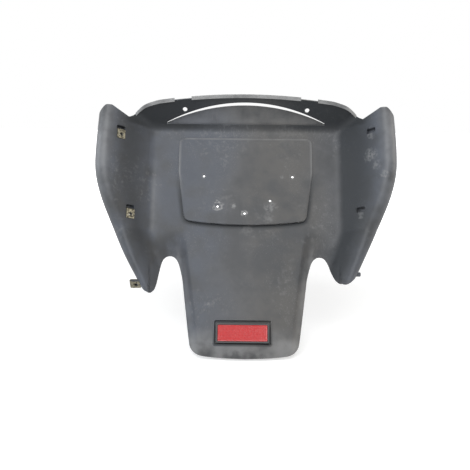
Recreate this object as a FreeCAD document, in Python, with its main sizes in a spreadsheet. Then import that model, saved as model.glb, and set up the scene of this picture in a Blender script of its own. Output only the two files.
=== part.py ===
"""Rear mudguard of a motorcycle: one moulding with a reflector and spring clip nuts.

Everything is drawn in the frame of the plate panel: X to the right, Z up the
panel and -Y out of the panel towards the rear. Depth is measured out of the
panel, so depth = -Y. Every sub-part is then leaned back by the panel's tilt,
about the middle of the hood's two bolt holes, which is the origin of the part.
"""
import os
from math import cos, radians, sin, tan

import FreeCAD
import Part

DIMENSIONS = {
    # The wall, and the lean of the plate panel from upright
    "wall": 3.0,
    "panel_tilt": 25.0,
    # The recess for the plate: flat panel, sloping wings, overhanging hood
    "panel_half_width": 134.0,
    "panel_top": 158.0,
    "wing_slope": 53.0,
    "hood_slope": 38.0,
    "floor_radius": 20.0,
    # Rolled rims of the wings
    "rim_radius": 13.0,
    "rim_turn": 122.0,
    "rim_return": 3.0,
    # Outer edge of the wings, seen square on to the panel
    "wing_top": 177.0,
    "wing_top_half_width": 206.0,
    "wing_full_top": 120.0,
    "wing_half_width": 209.0,
    "wing_full_bottom": 81.0,
    "knee_height": 46.0,
    "knee_half_width": 199.5,
    "left_lobe_half_width": 138.0,
    "left_lobe_height": -77.0,
    "right_lobe_half_width": 151.5,
    "right_lobe_height": -57.0,
    "lobe_end": -92.0,
    "lobe_foot": 100.0,
    "lobe_rim_radius": 5.0,
    "lobe_corner": 6.0,
    # Top edge: wing tops, the notches beside the hood, and the hood's arch
    "wing_top_inner": 184.0,
    "wing_top_corner": 9.0,
    "notch_half_width": 162.0,
    "notch_height": 170.0,
    "arch_knee_half_width": 124.0,
    "arch_knee_height": 184.0,
    "arch_top": 190.5,
    # Lower edge: lobes, and the gaps beside the tail
    "left_lobe_tip": -84.0,
    "left_lobe_inner": 121.0,
    "right_lobe_tip": -68.0,
    "right_lobe_inner": 127.0,
    "gap_outer": 115.0,
    "gap_inner": 96.0,
    "gap_shoulder": -38.0,
    "gap_rise": 8.5,
    # Tail: a bowed channel whose lower end bends back to a lip
    "tail_top": 6.0,
    "tail_top_half_width": 96.0,
    "tail_half_width": 75.0,
    "tail_bend": -154.0,
    "tail_bottom": -171.0,
    "tail_bottom_half_width": 66.0,
    "tail_bow": 6.0,
    "tail_top_bow": 0.5,
    "tail_lip_back": 8.0,
    "tail_shoulder": -34.0,
    "tail_step": 9.0,
    "tail_top_step": 0.5,
    "tail_flange": 6.0,
    "tail_step_run": 3.0,
    "tail_edge_radius": 6.0,
    "tail_corner": 18.0,
    # Webs that fall back from the panel beside the tail
    "web_run": 14.0,
    "web_drop": 22.0,
    # Lips along the arch, with gaps at the bolt holes
    "lip_height": 4.0,
    "lip_proud": 3.0,
    "lip_gap_inner": 77.0,
    "lip_gap_outer": 101.0,
    # Lamp window in the hood, and the flap under it
    "window_half_width": 117.0,
    "window_sill": 163.0,
    "window_rise": 21.0,
    "flap_slope": 27.0,
    "flap_rise": 37.0,
    "flap_foot": 2.0,
    # Bolt holes of the hood
    "hood_hole_half_span": 87.0,
    "hood_hole_height": 177.0,
    "hood_hole": 6.5,
    # Plate pad: a wedge that stands prouder towards its bottom edge
    "pad_top": 144.0,
    "pad_half_width": 96.0,
    "pad_taper_start": 92.0,
    "pad_bottom": 19.0,
    "pad_bottom_half_width": 86.0,
    "pad_bottom_bow": 6.0,
    "pad_proud_top": 0.8,
    "pad_proud_bottom": 6.5,
    # Plate holes in the pad
    "plate_hole": 4.2,
    "upper_hole_left_x": -59.0,
    "upper_hole_right_x": 67.0,
    "upper_hole_z": 85.0,
    "lower_hole_left_x": -39.0,
    "lower_hole_left_z": 40.0,
    "lower_hole_right_x": 35.0,
    "lower_hole_right_z": 49.0,
    "middle_hole_x": -1.0,
    "middle_hole_z": 30.0,
    # Reflector, and its recess in the tail
    "reflector_x": -2.5,
    "reflector_z": -136.5,
    "reflector_width": 72.0,
    "reflector_height": 27.0,
    "reflector_fit": 0.3,
    "reflector_rim": 2.6,
    "reflector_depth": 6.0,
    "lens_thickness": 3.0,
    "lens_fit": 0.1,
    "lens_proud": 0.6,
    "lens_ease": 0.5,
    "recess_floor": -1.4,
    "reflector_seat": 1.6,
    "stud_half_span": 22.0,
    "stud": 4.0,
    "stud_length": 12.0,
    "stud_head": 7.0,
    "stud_head_depth": 1.4,
    "stud_hole": 4.6,
    "washer": 9.0,
    "washer_thickness": 0.8,
    "nut_across_flats": 7.0,
    "nut_thickness": 3.2,
    # Spring clip nuts, the wings' slots and the lobes' lugs that carry them
    "clip_width": 12.0,
    "clip_length": 12.0,
    "clip_sheet": 0.9,
    "clip_fit": 0.15,
    "clip_hole": 4.0,
    "clip_front_hole": 5.2,
    "clip_hole_back": 6.2,
    "clip_barrel": 6.4,
    "clip_barrel_length": 3.0,
    "clip_lug_hole": 5.6,
    "clip_window_fit": 0.5,
    "clip_window_height": 7.0,
    "upper_clip_x": 175.0,
    "upper_clip_z": 142.0,
    "lower_clip_x": 159.0,
    "lower_clip_z": 30.0,
    "lug_width": 11.0,
    "lug_length": 13.4,
    "lug_root": 4.0,
    "left_lug_height": -73.0,
    "lug_depth": 12.5,
    "lug_tilt": 55.0,
    "right_tab_height": -56.0,
    "right_tab_width": 6.0,
    "right_tab_length": 5.0,
    "pocket_depth": 8.0,
    "pocket_wall": 1.6,
}
CUT_DEPTH = 200.0

DOC = FreeCAD.newDocument("rear_mudguard")
SHEET = DOC.addObject("Spreadsheet::Sheet", "Dim")
for row, (alias, value) in enumerate(DIMENSIONS.items(), start=1):
    SHEET.set(f"A{row}", alias)
    SHEET.set(f"B{row}", str(value))
    SHEET.setAlias(f"B{row}", alias)
DOC.recompute()


def size(alias):
    """Read one driving dimension from the sheet."""
    return float(SHEET.get(alias))


def at(x, z, depth):
    """Point of the panel frame at a depth out of the panel."""
    return FreeCAD.Vector(x, -depth, z)


def feature(name, shape):
    """Document object that holds a shape drawn from the sheet's sizes."""
    obj = DOC.addObject("Part::Feature", name)
    obj.Shape = shape
    return obj


def bound(kind, name, place, **sizes):
    """Primitive whose sizes follow the sheet."""
    obj = DOC.addObject(f"Part::{kind}", name)
    obj.Placement = place
    for key, expression in sizes.items():
        obj.setExpression(key, expression)
    return obj


def fused(name, *objects):
    """Union of several objects."""
    obj = DOC.addObject("Part::MultiFuse", name)
    obj.Shapes = list(objects)
    return obj


def cut(name, base, *tools):
    """Base with every tool taken out of it."""
    for number, tool in enumerate(tools, start=1):
        step = DOC.addObject("Part::Cut", f"{name}_{number}")
        step.Base = base
        step.Tool = tool
        base = step
    return base


# Profiles


class Path:
    """Chain of lines and arcs in a plane, given as (across, depth) points."""

    def __init__(self, place):
        self.place = place
        self.edges = []
        self.last = None

    def start(self, point):
        """Put the pen down."""
        self.last = point
        return self

    def line(self, point):
        """Draw a straight stretch."""
        self.edges.append(Part.makeLine(self.place(self.last), self.place(point)))
        self.last = point
        return self

    def arc(self, middle, point):
        """Draw an arc through a middle point."""
        ends = [self.place(p) for p in (self.last, middle, point)]
        self.edges.append(Part.Arc(*ends).toShape())
        self.last = point
        return self

    def wire(self):
        """Give the chain as one wire."""
        return Part.Wire(self.edges)


def turned(centre, radius, angle):
    """Point on a circle, with the angle in degrees."""
    return (centre[0] + radius * cos(radians(angle)), centre[1] + radius * sin(radians(angle)))


def half_trough(outer_edge, foot_half_width, full_rim, inset):
    """Key points of half a wing section, from the floor to the rolled rim's end.

    The wall leaves the floor through a concave arc, and rolls over a convex one.
    The inset moves every point behind the face by that much.
    """
    rise = 90 - size("wing_slope")
    floor_radius = size("floor_radius") + inset
    rim_radius = full_rim - inset
    turn = size("rim_turn")
    tangent = size("floor_radius") * tan(radians(rise / 2))
    foot = (foot_half_width - tangent, size("floor_radius"))
    rim_x = outer_edge - full_rim
    wall_x = rim_x - full_rim * sin(radians(rise))
    wall_depth = (wall_x - foot_half_width) * tan(radians(rise))
    rim = (rim_x, wall_depth - full_rim * cos(radians(rise)))
    start, end = 90 + rise, 90 + rise - turn
    tail = turned(rim, rim_radius, end)
    away = (sin(radians(end)), -cos(radians(end)))
    last = (tail[0] + size("rim_return") * away[0], tail[1] + size("rim_return") * away[1])
    return {
        "foot": (foot[0], -inset),
        "bend": turned(foot, floor_radius, -90 + rise / 2),
        "wall": turned(foot, floor_radius, -90 + rise),
        "crest": turned(rim, rim_radius, start),
        "roll": turned(rim, rim_radius, (start + end) / 2),
        "rim": tail,
        "end": last,
    }


def trough_wire(height, left_edge, right_edge, foot_half_width, rim_radius, drop):
    """Closed thin-walled section across both wings and the panel at a height.

    The floor between the wings is dropped, which makes the webs beside the tail.
    """
    def half(edge, inset):
        return half_trough(edge, foot_half_width, rim_radius, inset)

    def mirrored(points):
        return {key: (-x, depth) for key, (x, depth) in points.items()}

    wall = size("wall")
    left, right = mirrored(half(left_edge, 0.0)), half(right_edge, 0.0)
    left_in, right_in = mirrored(half(left_edge, wall)), half(right_edge, wall)
    path = Path(lambda p: at(p[0], height, p[1])).start(left["end"])
    path.line(left["rim"]).arc(left["roll"], left["crest"]).line(left["wall"])
    run = size("web_run")
    path.arc(left["bend"], left["foot"]).line((left["foot"][0] + run, -drop))
    path.line((right["foot"][0] - run, -drop)).line(right["foot"]).arc(right["bend"], right["wall"])
    path.line(right["crest"]).arc(right["roll"], right["rim"]).line(right["end"])
    path.line(right_in["end"]).line(right_in["rim"]).arc(right_in["roll"], right_in["crest"])
    path.line(right_in["wall"]).arc(right_in["bend"], right_in["foot"])
    path.line((right_in["foot"][0] - run, -drop - wall)).line((left_in["foot"][0] + run, -drop - wall))
    path.line(left_in["foot"]).arc(left_in["bend"], left_in["wall"]).line(left_in["crest"])
    path.arc(left_in["roll"], left_in["rim"]).line(left_in["end"]).line(left["end"])
    return path.wire()


def lobe_edge(side, height):
    """Half width of a wing at a height on its straight lower edge."""
    lobe, lobe_height = size(f"{side}_lobe_half_width"), size(f"{side}_lobe_height")
    share = (size("knee_height") - height) / (size("knee_height") - lobe_height)
    return size("knee_half_width") + share * (lobe - size("knee_half_width"))


def trough():
    """Panel and both wings, as one thin-walled loft from the top to the lobes."""
    panel, rim = size("panel_half_width"), size("rim_radius")
    full, top = size("wing_half_width"), size("wing_top_half_width")
    knee, turn, end = size("knee_half_width"), size("tail_top"), size("lobe_end")
    stations = [
        (size("wing_top"), top, top, panel, rim, 0.0),
        (size("wing_full_top"), full, full, panel, rim, 0.0),
        (size("wing_full_bottom"), full, full, panel, rim, 0.0),
        (size("knee_height"), knee, knee, panel, rim, 0.0),
        (turn, lobe_edge("left", turn), lobe_edge("right", turn), panel, rim, 0.0),
        (end, lobe_edge("left", end), lobe_edge("right", end),
         size("lobe_foot"), size("lobe_rim_radius"), size("web_drop")),
    ]
    return Part.makeLoft([trough_wire(*station) for station in stations], True, True)


def prism_across(points, half_length):
    """Solid with a (height, depth) outline, carried across the part."""
    path = Path(lambda p: at(-half_length, p[0], p[1])).start(points[-1])
    for point in points:
        path.line(point)
    return Part.Face(path.wire()).extrude(FreeCAD.Vector(2 * half_length, 0, 0))


def prism_along(points, low, high):
    """Solid with an (across, depth) outline, carried up the part."""
    path = Path(lambda p: at(p[0], low, p[1])).start(points[-1])
    for point in points:
        path.line(point)
    return Part.Face(path.wire()).extrude(FreeCAD.Vector(0, 0, high - low))


def pressed(path, near, far):
    """Solid with an outline drawn square on to the panel, between two depths."""
    face = Part.Face(path.wire())
    face.translate(FreeCAD.Vector(0, -near, 0))
    return face.extrude(FreeCAD.Vector(0, near - far, 0))


def front_path():
    """Path drawn square on to the panel, in (across, height) points."""
    return Path(lambda p: at(p[0], p[1], 0.0))


# Moulding


def hood_height(depth):
    """Height of the hood's underside at a depth."""
    return size("panel_top") + depth * tan(radians(size("hood_slope")))


def hood_plate(front, back, half_length):
    """Plate of the hood between two depths."""
    lift = size("wall") / cos(radians(size("hood_slope")))
    outline = [(hood_height(front), front), (hood_height(back), back)]
    return prism_across(outline + [(z + lift, depth) for z, depth in reversed(outline)], half_length)


def behind_hood():
    """Everything above and in front of the hood's upper face."""
    lift = size("wall") / cos(radians(size("hood_slope")))
    low, high = -CUT_DEPTH / 2, CUT_DEPTH / 2
    top = size("arch_top") + CUT_DEPTH
    points = [(hood_height(low) + lift, low), (hood_height(high) + lift, high), (top, high), (top, low)]
    return prism_across(points, 2 * size("wing_half_width"))


def behind_wing(sign):
    """Everything outside the outer face of one wing's wall."""
    shift = size("wall") / cos(radians(size("wing_slope")))
    low, high = -CUT_DEPTH / 4, CUT_DEPTH / 2
    outer = 2 * size("wing_half_width")
    slope = tan(radians(size("wing_slope")))
    half = size("panel_half_width") + shift
    points = [(half + low * slope, low), (half + high * slope, high), (outer, high), (outer, low)]
    return prism_along([(sign * x, depth) for x, depth in points], size("lobe_end"), 2 * size("arch_top"))


def above_outline():
    """Everything above the wing tops, the notches and the hood's arch."""
    far, sky = 2 * size("wing_half_width"), 2 * size("arch_top")
    top, corner, outer = size("wing_top"), size("wing_top_corner"), size("wing_top_half_width")
    inner, notch = size("wing_top_inner"), (size("notch_half_width"), size("notch_height"))
    knee = (size("arch_knee_half_width"), size("arch_knee_height"))
    path = front_path().start((-far, sky)).line((-far, top - 2 * corner)).line((-outer - corner, top - 2 * corner))
    path.line((-outer + corner, top)).line((-inner, top)).line((-notch[0], notch[1]))
    path.line((-knee[0], knee[1])).arc((0, size("arch_top")), knee).line(notch).line((inner, top))
    path.line((outer - corner, top)).line((outer + corner, top - 2 * corner)).line((far, top - 2 * corner))
    path.line((far, sky)).line((-far, sky))
    return pressed(path, -CUT_DEPTH / 2, CUT_DEPTH / 2)


def below_outline():
    """Everything below the lobes, and the gaps and the tail's place between them."""
    far, deep = 2 * size("wing_half_width"), 2 * size("lobe_end")
    shoulder = size("gap_shoulder")
    gap, gap_end = (size("gap_outer"), shoulder), (size("gap_inner"), shoulder)
    middle = ((gap[0] + gap_end[0]) / 2, shoulder + size("gap_rise"))
    inner = tail_edge(shoulder) - size("wall")
    top = tail_edge(size("tail_top")) - size("wall")

    def lobe(side, sign):
        tip = size(f"{side}_lobe_tip")
        outer = lobe_edge(side, tip)
        return sign * outer, sign * size(f"{side}_lobe_inner"), tip

    left_outer, left_inner, left_tip = lobe("left", -1)
    right_outer, right_inner, right_tip = lobe("right", 1)
    rise = size("lobe_corner")
    path = front_path().start((-far, deep)).line((-far, left_tip + rise)).line((left_outer - rise, left_tip + rise))
    path.arc(((left_outer + left_inner) / 2 - rise / 2, left_tip), (left_inner, left_tip + rise))
    path.line((-gap[0], shoulder)).arc((-middle[0], middle[1]), (-gap_end[0], shoulder)).line((-inner, shoulder))
    path.line((-top, size("tail_top"))).line((top, size("tail_top"))).line((inner, shoulder))
    path.line(gap_end).arc(middle, gap).line((right_inner, right_tip + rise))
    path.arc(((right_outer + right_inner) / 2 + rise / 2, right_tip), (right_outer + rise, right_tip + rise))
    path.line((far, right_tip + rise)).line((far, deep)).line((-far, deep))
    return pressed(path, -CUT_DEPTH / 2, CUT_DEPTH / 2)


def tail_edge(height):
    """Half width of the tail at a height above its bend."""
    share = (size("tail_top") - height) / (size("tail_top") - size("tail_bend"))
    return size("tail_top_half_width") + share * (size("tail_half_width") - size("tail_top_half_width"))


def tail_wire(height, half, bow, step, back):
    """Closed thin-walled section of the tail: bowed face, stepped sides and flanges."""
    wall, radius = size("wall"), size("tail_edge_radius")
    foot = half - size("tail_flange")
    brow = foot - size("tail_step_run")
    face = brow - radius
    bend = (brow - 0.3 * radius, -0.15 * step)
    outer = [(half, -step), (foot, -step), (brow, -0.5 * step), bend, (face, 0.0)]
    inner = [(x - shift, depth - wall) for (x, depth), shift in zip(outer, (0, wall, 0.8 * wall, wall / 2, wall / 3))]
    path = Path(lambda p: at(p[0], height, p[1] - back)).start((-half, -step))
    path.line((-foot, -step)).line((-brow, -0.5 * step)).arc((-bend[0], bend[1]), (-face, 0.0))
    path.arc((0, bow), (face, 0.0)).arc(bend, outer[2]).line(outer[1]).line(outer[0])
    path.line(inner[0]).line(inner[1]).line(inner[2]).arc(inner[3], inner[4])
    path.arc((0, bow - wall), (-inner[4][0], inner[4][1]))
    path.arc((-inner[3][0], inner[3][1]), (-inner[2][0], inner[2][1]))
    path.line((-inner[1][0], inner[1][1])).line((-inner[0][0], inner[0][1])).line((-half, -step))
    return path.wire()


def tail():
    """Bowed tail below the panel, with its lower end bent back to a lip."""
    shoulder, step = size("tail_shoulder"), size("tail_step")
    share = (size("tail_top") - shoulder) / (size("tail_top") - size("tail_bend"))
    bow = size("tail_top_bow") + share * (size("tail_bow") - size("tail_top_bow"))
    return Part.makeLoft([
        tail_wire(size("tail_top"), size("tail_top_half_width"), size("tail_top_bow"), size("tail_top_step"), 0.0),
        tail_wire(shoulder, tail_edge(shoulder), bow, step, 0.0),
        tail_wire(size("tail_bend"), size("tail_half_width"), size("tail_bow"), step, 0.0),
        tail_wire(size("tail_bottom"), size("tail_bottom_half_width"), size("tail_bow"), step, size("tail_lip_back")),
    ], True, True)


def below_tail():
    """Everything below the tail's rounded corners and bowed bottom edge."""
    far, deep, corner = size("wing_half_width"), 2 * size("tail_bottom"), size("tail_corner")
    bottom, half = size("tail_bottom"), size("tail_half_width")
    side = (half, bottom + corner)
    middle = (half - 0.29 * corner, bottom + 0.45 * corner)
    foot = (half - corner, bottom + 0.18 * corner)
    path = front_path().start((-far, side[1])).line((-half, side[1]))
    path.arc((-middle[0], middle[1]), (-foot[0], foot[1])).arc((0, bottom), foot).arc(middle, side)
    path.line((far, side[1])).line((far, deep)).line((-far, deep)).line((-far, side[1]))
    return pressed(path, -CUT_DEPTH / 2, CUT_DEPTH / 2)


def arch_lips():
    """Lips that stand out of the hood's underside along the arch, with gaps at the bolts."""
    drop, proud = size("lip_height"), size("lip_proud") / cos(radians(size("hood_slope")))
    knee, top = (size("arch_knee_half_width"), size("arch_knee_height")), size("arch_top")
    notch = (size("notch_half_width") - 2 * size("wall"), size("notch_height"))
    path = front_path().start((-notch[0], notch[1])).line((-knee[0], knee[1])).arc((0, top), knee).line(notch)
    path.line((notch[0], notch[1] - drop)).line((knee[0], knee[1] - drop))
    path.arc((0, top - drop), (-knee[0], knee[1] - drop)).line((-notch[0], notch[1] - drop))
    path.line((-notch[0], notch[1]))
    far = CUT_DEPTH / 3
    under = [(hood_height(0.0), 0.0), (hood_height(far), far)]
    slab = prism_across(under + [(z - proud, depth) for z, depth in reversed(under)], size("wing_half_width"))
    lips = pressed(path, 0.0, far).common(slab)
    width = size("lip_gap_outer") - size("lip_gap_inner")
    for x in (-size("lip_gap_outer"), size("lip_gap_inner")):
        lips = lips.cut(Part.makeBox(width, far, CUT_DEPTH, at(x, 0.0, far)))
    return lips


def window():
    """Opening of the lamp window, pressed through the hood."""
    half, sill = size("window_half_width"), size("window_sill")
    path = front_path().start((-half, sill)).arc((0, sill + size("window_rise")), (half, sill)).line((-half, sill))
    return pressed(path, 0.0, CUT_DEPTH / 2)


def flap():
    """Flap behind the lamp window, leaning out of the panel's top edge."""
    half, rise, foot = size("window_half_width"), size("flap_rise"), size("flap_foot")
    path = front_path().start((-half, -foot)).line((-half, 0)).arc((0, rise), (half, 0)).line((half, -foot))
    path.line((-half, -foot))
    plate = pressed(path, -size("wall"), 0.0)
    plate.rotate(FreeCAD.Vector(), FreeCAD.Vector(1, 0, 0), size("flap_slope"))
    plate.translate(at(0, size("panel_top"), 0))
    return plate


def pad_path(inset):
    """Outline of the plate pad: upright sides, then a taper to a bowed bottom edge."""
    half, low_half = size("pad_half_width") - inset, size("pad_bottom_half_width") - inset
    top, bottom = size("pad_top") - inset, size("pad_bottom") + inset
    start, bow = size("pad_taper_start"), size("pad_bottom_bow")
    path = front_path().start((-half, top)).line((-half, start)).line((-low_half, bottom))
    path.arc((0, bottom - bow), (low_half, bottom)).line((half, start)).line((half, top)).line((-half, top))
    return path


def pad_depth(height):
    """Depth of the pad's sloping face at a height."""
    share = (size("pad_top") - height) / (size("pad_top") - size("pad_bottom"))
    return size("pad_proud_top") + share * (size("pad_proud_bottom") - size("pad_proud_top"))


def pad_block(inset, floor):
    """Wedge inside the pad's outline, from a depth up to its sloping face less the inset."""
    low, high = size("pad_bottom") - size("pad_bottom_bow") - size("wall"), size("pad_top") + size("wall")
    wedge = prism_across([(low, floor), (low, pad_depth(low) - inset), (high, pad_depth(high) - inset), (high, floor)],
                         2 * size("pad_half_width"))
    return pressed(pad_path(inset), floor, CUT_DEPTH / 4).common(wedge)


def pad_normal():
    """Direction square on to the pad's sloping face."""
    drop = size("pad_proud_bottom") - size("pad_proud_top")
    return at(0, drop, size("pad_top") - size("pad_bottom")).normalize()


def hood_normal():
    """Direction square on to the hood's underside, out of the recess."""
    slope = radians(size("hood_slope"))
    return at(0, -cos(slope), sin(slope))


def hood_bolt_point(sign):
    """Middle of one bolt hole on the hood's underside."""
    height = size("hood_hole_height")
    depth = (height - size("panel_top")) / tan(radians(size("hood_slope")))
    return at(sign * size("hood_hole_half_span"), height, depth)


def drill(name, point, direction, hole):
    """Drill for one hole through a point, along a direction."""
    turn = FreeCAD.Rotation(FreeCAD.Vector(0, 0, 1), direction)
    place = FreeCAD.Placement(point - direction * (4 * size(hole)), turn)
    return bound("Cylinder", name, place, Radius=f"Dim.{hole} / 2", Height=f"8 * Dim.{hole}")


def plate_drills():
    """Drills for the plate holes, square on to the pad."""
    holes = {
        "upper_left": (size("upper_hole_left_x"), size("upper_hole_z")),
        "upper_right": (size("upper_hole_right_x"), size("upper_hole_z")),
        "lower_left": (size("lower_hole_left_x"), size("lower_hole_left_z")),
        "lower_right": (size("lower_hole_right_x"), size("lower_hole_right_z")),
        "middle": (size("middle_hole_x"), size("middle_hole_z")),
    }
    return [drill(f"{name}_drill", at(x, z, 0.0), pad_normal(), "plate_hole") for name, (x, z) in holes.items()]


def wings_blank():
    """Panel and wings, trimmed to the outline."""
    return cut("wings", feature("wings_and_panel", trough()), feature("over_hood", behind_hood()),
               feature("over_wings", above_outline()), feature("under_lobes", below_outline()))


def hood_blank():
    """Hood between the wings, trimmed to the arch and opened for the lamp."""
    plate = feature("hood_plate", hood_plate(-size("wall"), CUT_DEPTH / 3, size("wing_half_width")))
    return cut("hood", plate, feature("left_of_hood", behind_wing(-1)), feature("right_of_hood", behind_wing(1)),
               feature("over_arch", above_outline()), feature("lamp_window", window()))


def moulding():
    """The whole moulding, from its plates, tail and pad."""
    tail_blank = cut("tail", feature("tail_loft", tail()), feature("under_tail", below_tail()))
    seat = tail_box("reflector_seat", "Dim.reflector_fit + Dim.wall", "Dim.recess_floor - Dim.wall",
                    "Dim.recess_floor + Dim.wall + Dim.reflector_seat")
    recess = tail_box("reflector_recess", "Dim.reflector_fit", "Dim.recess_floor", "10 * Dim.wall")
    cups = [pocket_cup(name) for name in WINDOW_PLACES]
    body = fused("blank", wings_blank(), hood_blank(), tail_blank, feature("lips", arch_lips()),
                 feature("flap", flap()), feature("pad", pad_block(0.0, -size("wall") / 2)), seat, lug(), tab(), *cups)
    tools = [feature("pad_hollow", pad_block(size("wall"), -CUT_DEPTH / 8)), recess]
    tools += [clip_slot(name) for name in WINDOW_PLACES]
    tools += [clip_drill(f"{name}_clip_drill", place) for name, place in CLIP_PLACES.items()]
    tools += [drill(f"{side}_bolt_drill", hood_bolt_point(sign), hood_normal(), "hood_hole")
              for side, sign in SIDES.items()]
    tools += [rod(f"{side}_stud_drill", sign, "stud_hole", "-20 * Dim.wall", "0") for side, sign in SIDES.items()]
    return cut("moulding", body, *tools, *plate_drills())


# Reflector

RIM = "-Dim.reflector_rim"
TRAY_FRONT = "Dim.recess_floor + Dim.reflector_depth"
LENS_FRONT = f"{TRAY_FRONT} + Dim.lens_proud"
LENS_SEAT = f"{LENS_FRONT} - Dim.lens_thickness"
TAIL_BACK = "Dim.recess_floor - Dim.wall"
SIDES = {"left": -1, "right": 1}


def tail_box(name, margin, near, far):
    """Upright block round the reflector's place, between two depths."""
    box = bound("Box", name, FreeCAD.Placement(), Length=f"Dim.reflector_width + 2 * ({margin})",
                Width=f"({far}) - ({near})", Height=f"Dim.reflector_height + 2 * ({margin})")
    box.setExpression("Placement.Base.x", f"Dim.reflector_x - Dim.reflector_width / 2 - ({margin})")
    box.setExpression("Placement.Base.y", f"-({far})")
    box.setExpression("Placement.Base.z", f"Dim.reflector_z - Dim.reflector_height / 2 - ({margin})")
    return box


def along_stud(obj, sign, far):
    """Put an upright primitive on a stud's axis, pointing back from a depth."""
    obj.Placement.Rotation = FreeCAD.Rotation(FreeCAD.Vector(1, 0, 0), -90)
    obj.setExpression("Placement.Base.x", f"Dim.reflector_x + ({sign}) * Dim.stud_half_span")
    obj.setExpression("Placement.Base.y", f"-({far})")
    obj.setExpression("Placement.Base.z", "Dim.reflector_z")
    return obj


def rod(name, sign, diameter, near, far):
    """Cylinder round a stud's axis, between two depths."""
    bar = bound("Cylinder", name, FreeCAD.Placement(), Radius=f"Dim.{diameter} / 2", Height=f"({far}) - ({near})")
    return along_stud(bar, sign, far)


def rods(name, diameter, near, far):
    """Two like cylinders, one at each stud."""
    return [rod(f"{side}_{name}", sign, diameter, near, far) for side, sign in SIDES.items()]


def reflector_base():
    """Black tray that holds the lens, bored for the studs and their heads."""
    tray = tail_box("tray", "0", "Dim.recess_floor", TRAY_FRONT)
    pocket = tail_box("tray_pocket", RIM, LENS_SEAT, f"{TRAY_FRONT} + Dim.wall")
    bores = rods("tray_bore", "stud", f"{TAIL_BACK}", LENS_FRONT)
    sinks = rods("tray_sink", "stud_head", f"{LENS_SEAT} - Dim.stud_head_depth", LENS_FRONT)
    return cut("base", tray, pocket, *bores, *sinks)


def reflector_lens():
    """Red lens, a little proud of the tray's rim, with its front edges eased."""
    block = tail_box("lens_block", f"{RIM} - Dim.lens_fit", LENS_SEAT, LENS_FRONT)
    block.recompute()
    front = block.Shape.BoundBox.YMin
    lens = DOC.addObject("Part::Chamfer", "lens")
    lens.Base = block
    ease = size("lens_ease")
    lens.Edges = [(number, ease, ease) for number, edge in enumerate(block.Shape.Edges, start=1)
                  if edge.BoundBox.YMax < front + ease]
    return lens


def reflector_studs():
    """Two headed studs, with their heads under the lens."""
    shoulder = f"{LENS_SEAT} - Dim.stud_head_depth"
    shanks = rods("stud_shank", "stud", f"{LENS_SEAT} - Dim.stud_length", shoulder)
    return fused("studs", *shanks, *rods("stud_top", "stud_head", shoulder, LENS_SEAT))


def reflector_washers():
    """Two plain washers behind the tail."""
    discs = fused("discs", *rods("disc", "washer", f"{TAIL_BACK} - Dim.washer_thickness", TAIL_BACK))
    return cut("washers", discs, *rods("washer_bore", "stud_hole", f"{TAIL_BACK} - Dim.washer", "0"))


def reflector_nuts():
    """Two hexagon nuts behind their washers."""
    front = f"{TAIL_BACK} - Dim.washer_thickness"
    blocks = [
        along_stud(bound("Prism", f"{side}_nut_block", FreeCAD.Placement(), Height="Dim.nut_thickness",
                         Circumradius="Dim.nut_across_flats / 2 / cos(30 deg)"), sign, front)
        for side, sign in SIDES.items()
    ]
    return cut("nuts", fused("nut_blocks", *blocks), *rods("nut_bore", "stud", f"{front} - Dim.washer", "0"))


# Spring clip nuts


def facing(origin, upward, front):
    """Placement whose Z goes upward and whose -Y goes to the front."""
    return FreeCAD.Placement(origin, FreeCAD.Rotation((-front).cross(upward), -front, upward, "ZYX"))


def clip_bar(name, diameter, near, far):
    """Cylinder through a clip's screw hole, between two distances behind the front."""
    turn = FreeCAD.Rotation(FreeCAD.Vector(1, 0, 0), -90)
    bar = bound("Cylinder", name, FreeCAD.Placement(FreeCAD.Vector(), turn),
                Radius=f"Dim.{diameter} / 2", Height=f"({far}) - ({near})")
    bar.setExpression("Placement.Base.y", near)
    bar.setExpression("Placement.Base.z", "-Dim.clip_hole_back")
    return bar


def clip_strip():
    """Sheet steel bent to a U that straddles an edge."""
    fit, wall = size("clip_fit"), size("wall")
    foot, inner = -size("clip_length"), wall / 2 + fit
    outer = inner + size("clip_sheet")
    path = Path(lambda p: FreeCAD.Vector(-size("clip_width") / 2, wall / 2 + p[0], p[1])).start((-outer, foot))
    path.line((-outer, 0)).arc((0, outer), (outer, 0)).line((outer, foot)).line((inner, foot))
    path.line((inner, 0)).arc((0, inner), (-inner, 0)).line((-inner, foot)).line((-outer, foot))
    return Part.Face(path.wire()).extrude(FreeCAD.Vector(size("clip_width"), 0, 0))


def clip(name, place):
    """Spring clip nut at a place, with a drawn and tapped hole behind."""
    back = "Dim.wall + Dim.clip_fit"
    barrel = clip_bar(f"{name}_barrel", "clip_barrel", back, f"{back} + Dim.clip_barrel_length")
    bent = fused(f"{name}_bent", feature(f"{name}_strip", clip_strip()), barrel)
    front_hole = clip_bar(f"{name}_front_hole", "clip_front_hole", "-Dim.clip_length", "Dim.wall / 2")
    thread = clip_bar(f"{name}_thread", "clip_hole", "Dim.wall / 2", f"{back} + Dim.clip_length")
    nut = cut(f"{name}_nut", bent, front_hole, thread)
    nut.Placement = place
    return nut


def wing_place(sign, x, z):
    """Place on the face of a wing's wall, with Z up the wall."""
    slope = radians(size("wing_slope"))
    depth = (x - size("panel_half_width")) / tan(slope)
    return facing(at(sign * x, z, depth), at(0, 1, 0), at(-sign * cos(slope), 0, sin(slope)))


def edge_place(side, height, reach, tilt):
    """Place outside a lobe's edge, with Z out of the lobe and the front tilted down."""
    x = lobe_edge(side, height) + reach
    front = at(0, -sin(radians(tilt)), cos(radians(tilt)))
    return facing(at(SIDES[side] * x, height, size("lug_depth")), at(SIDES[side], 0, 0), front)


def lug_place():
    """Place at the free end of the left lobe's lug."""
    return edge_place("left", size("left_lug_height"), size("lug_length"), size("lug_tilt"))


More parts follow.
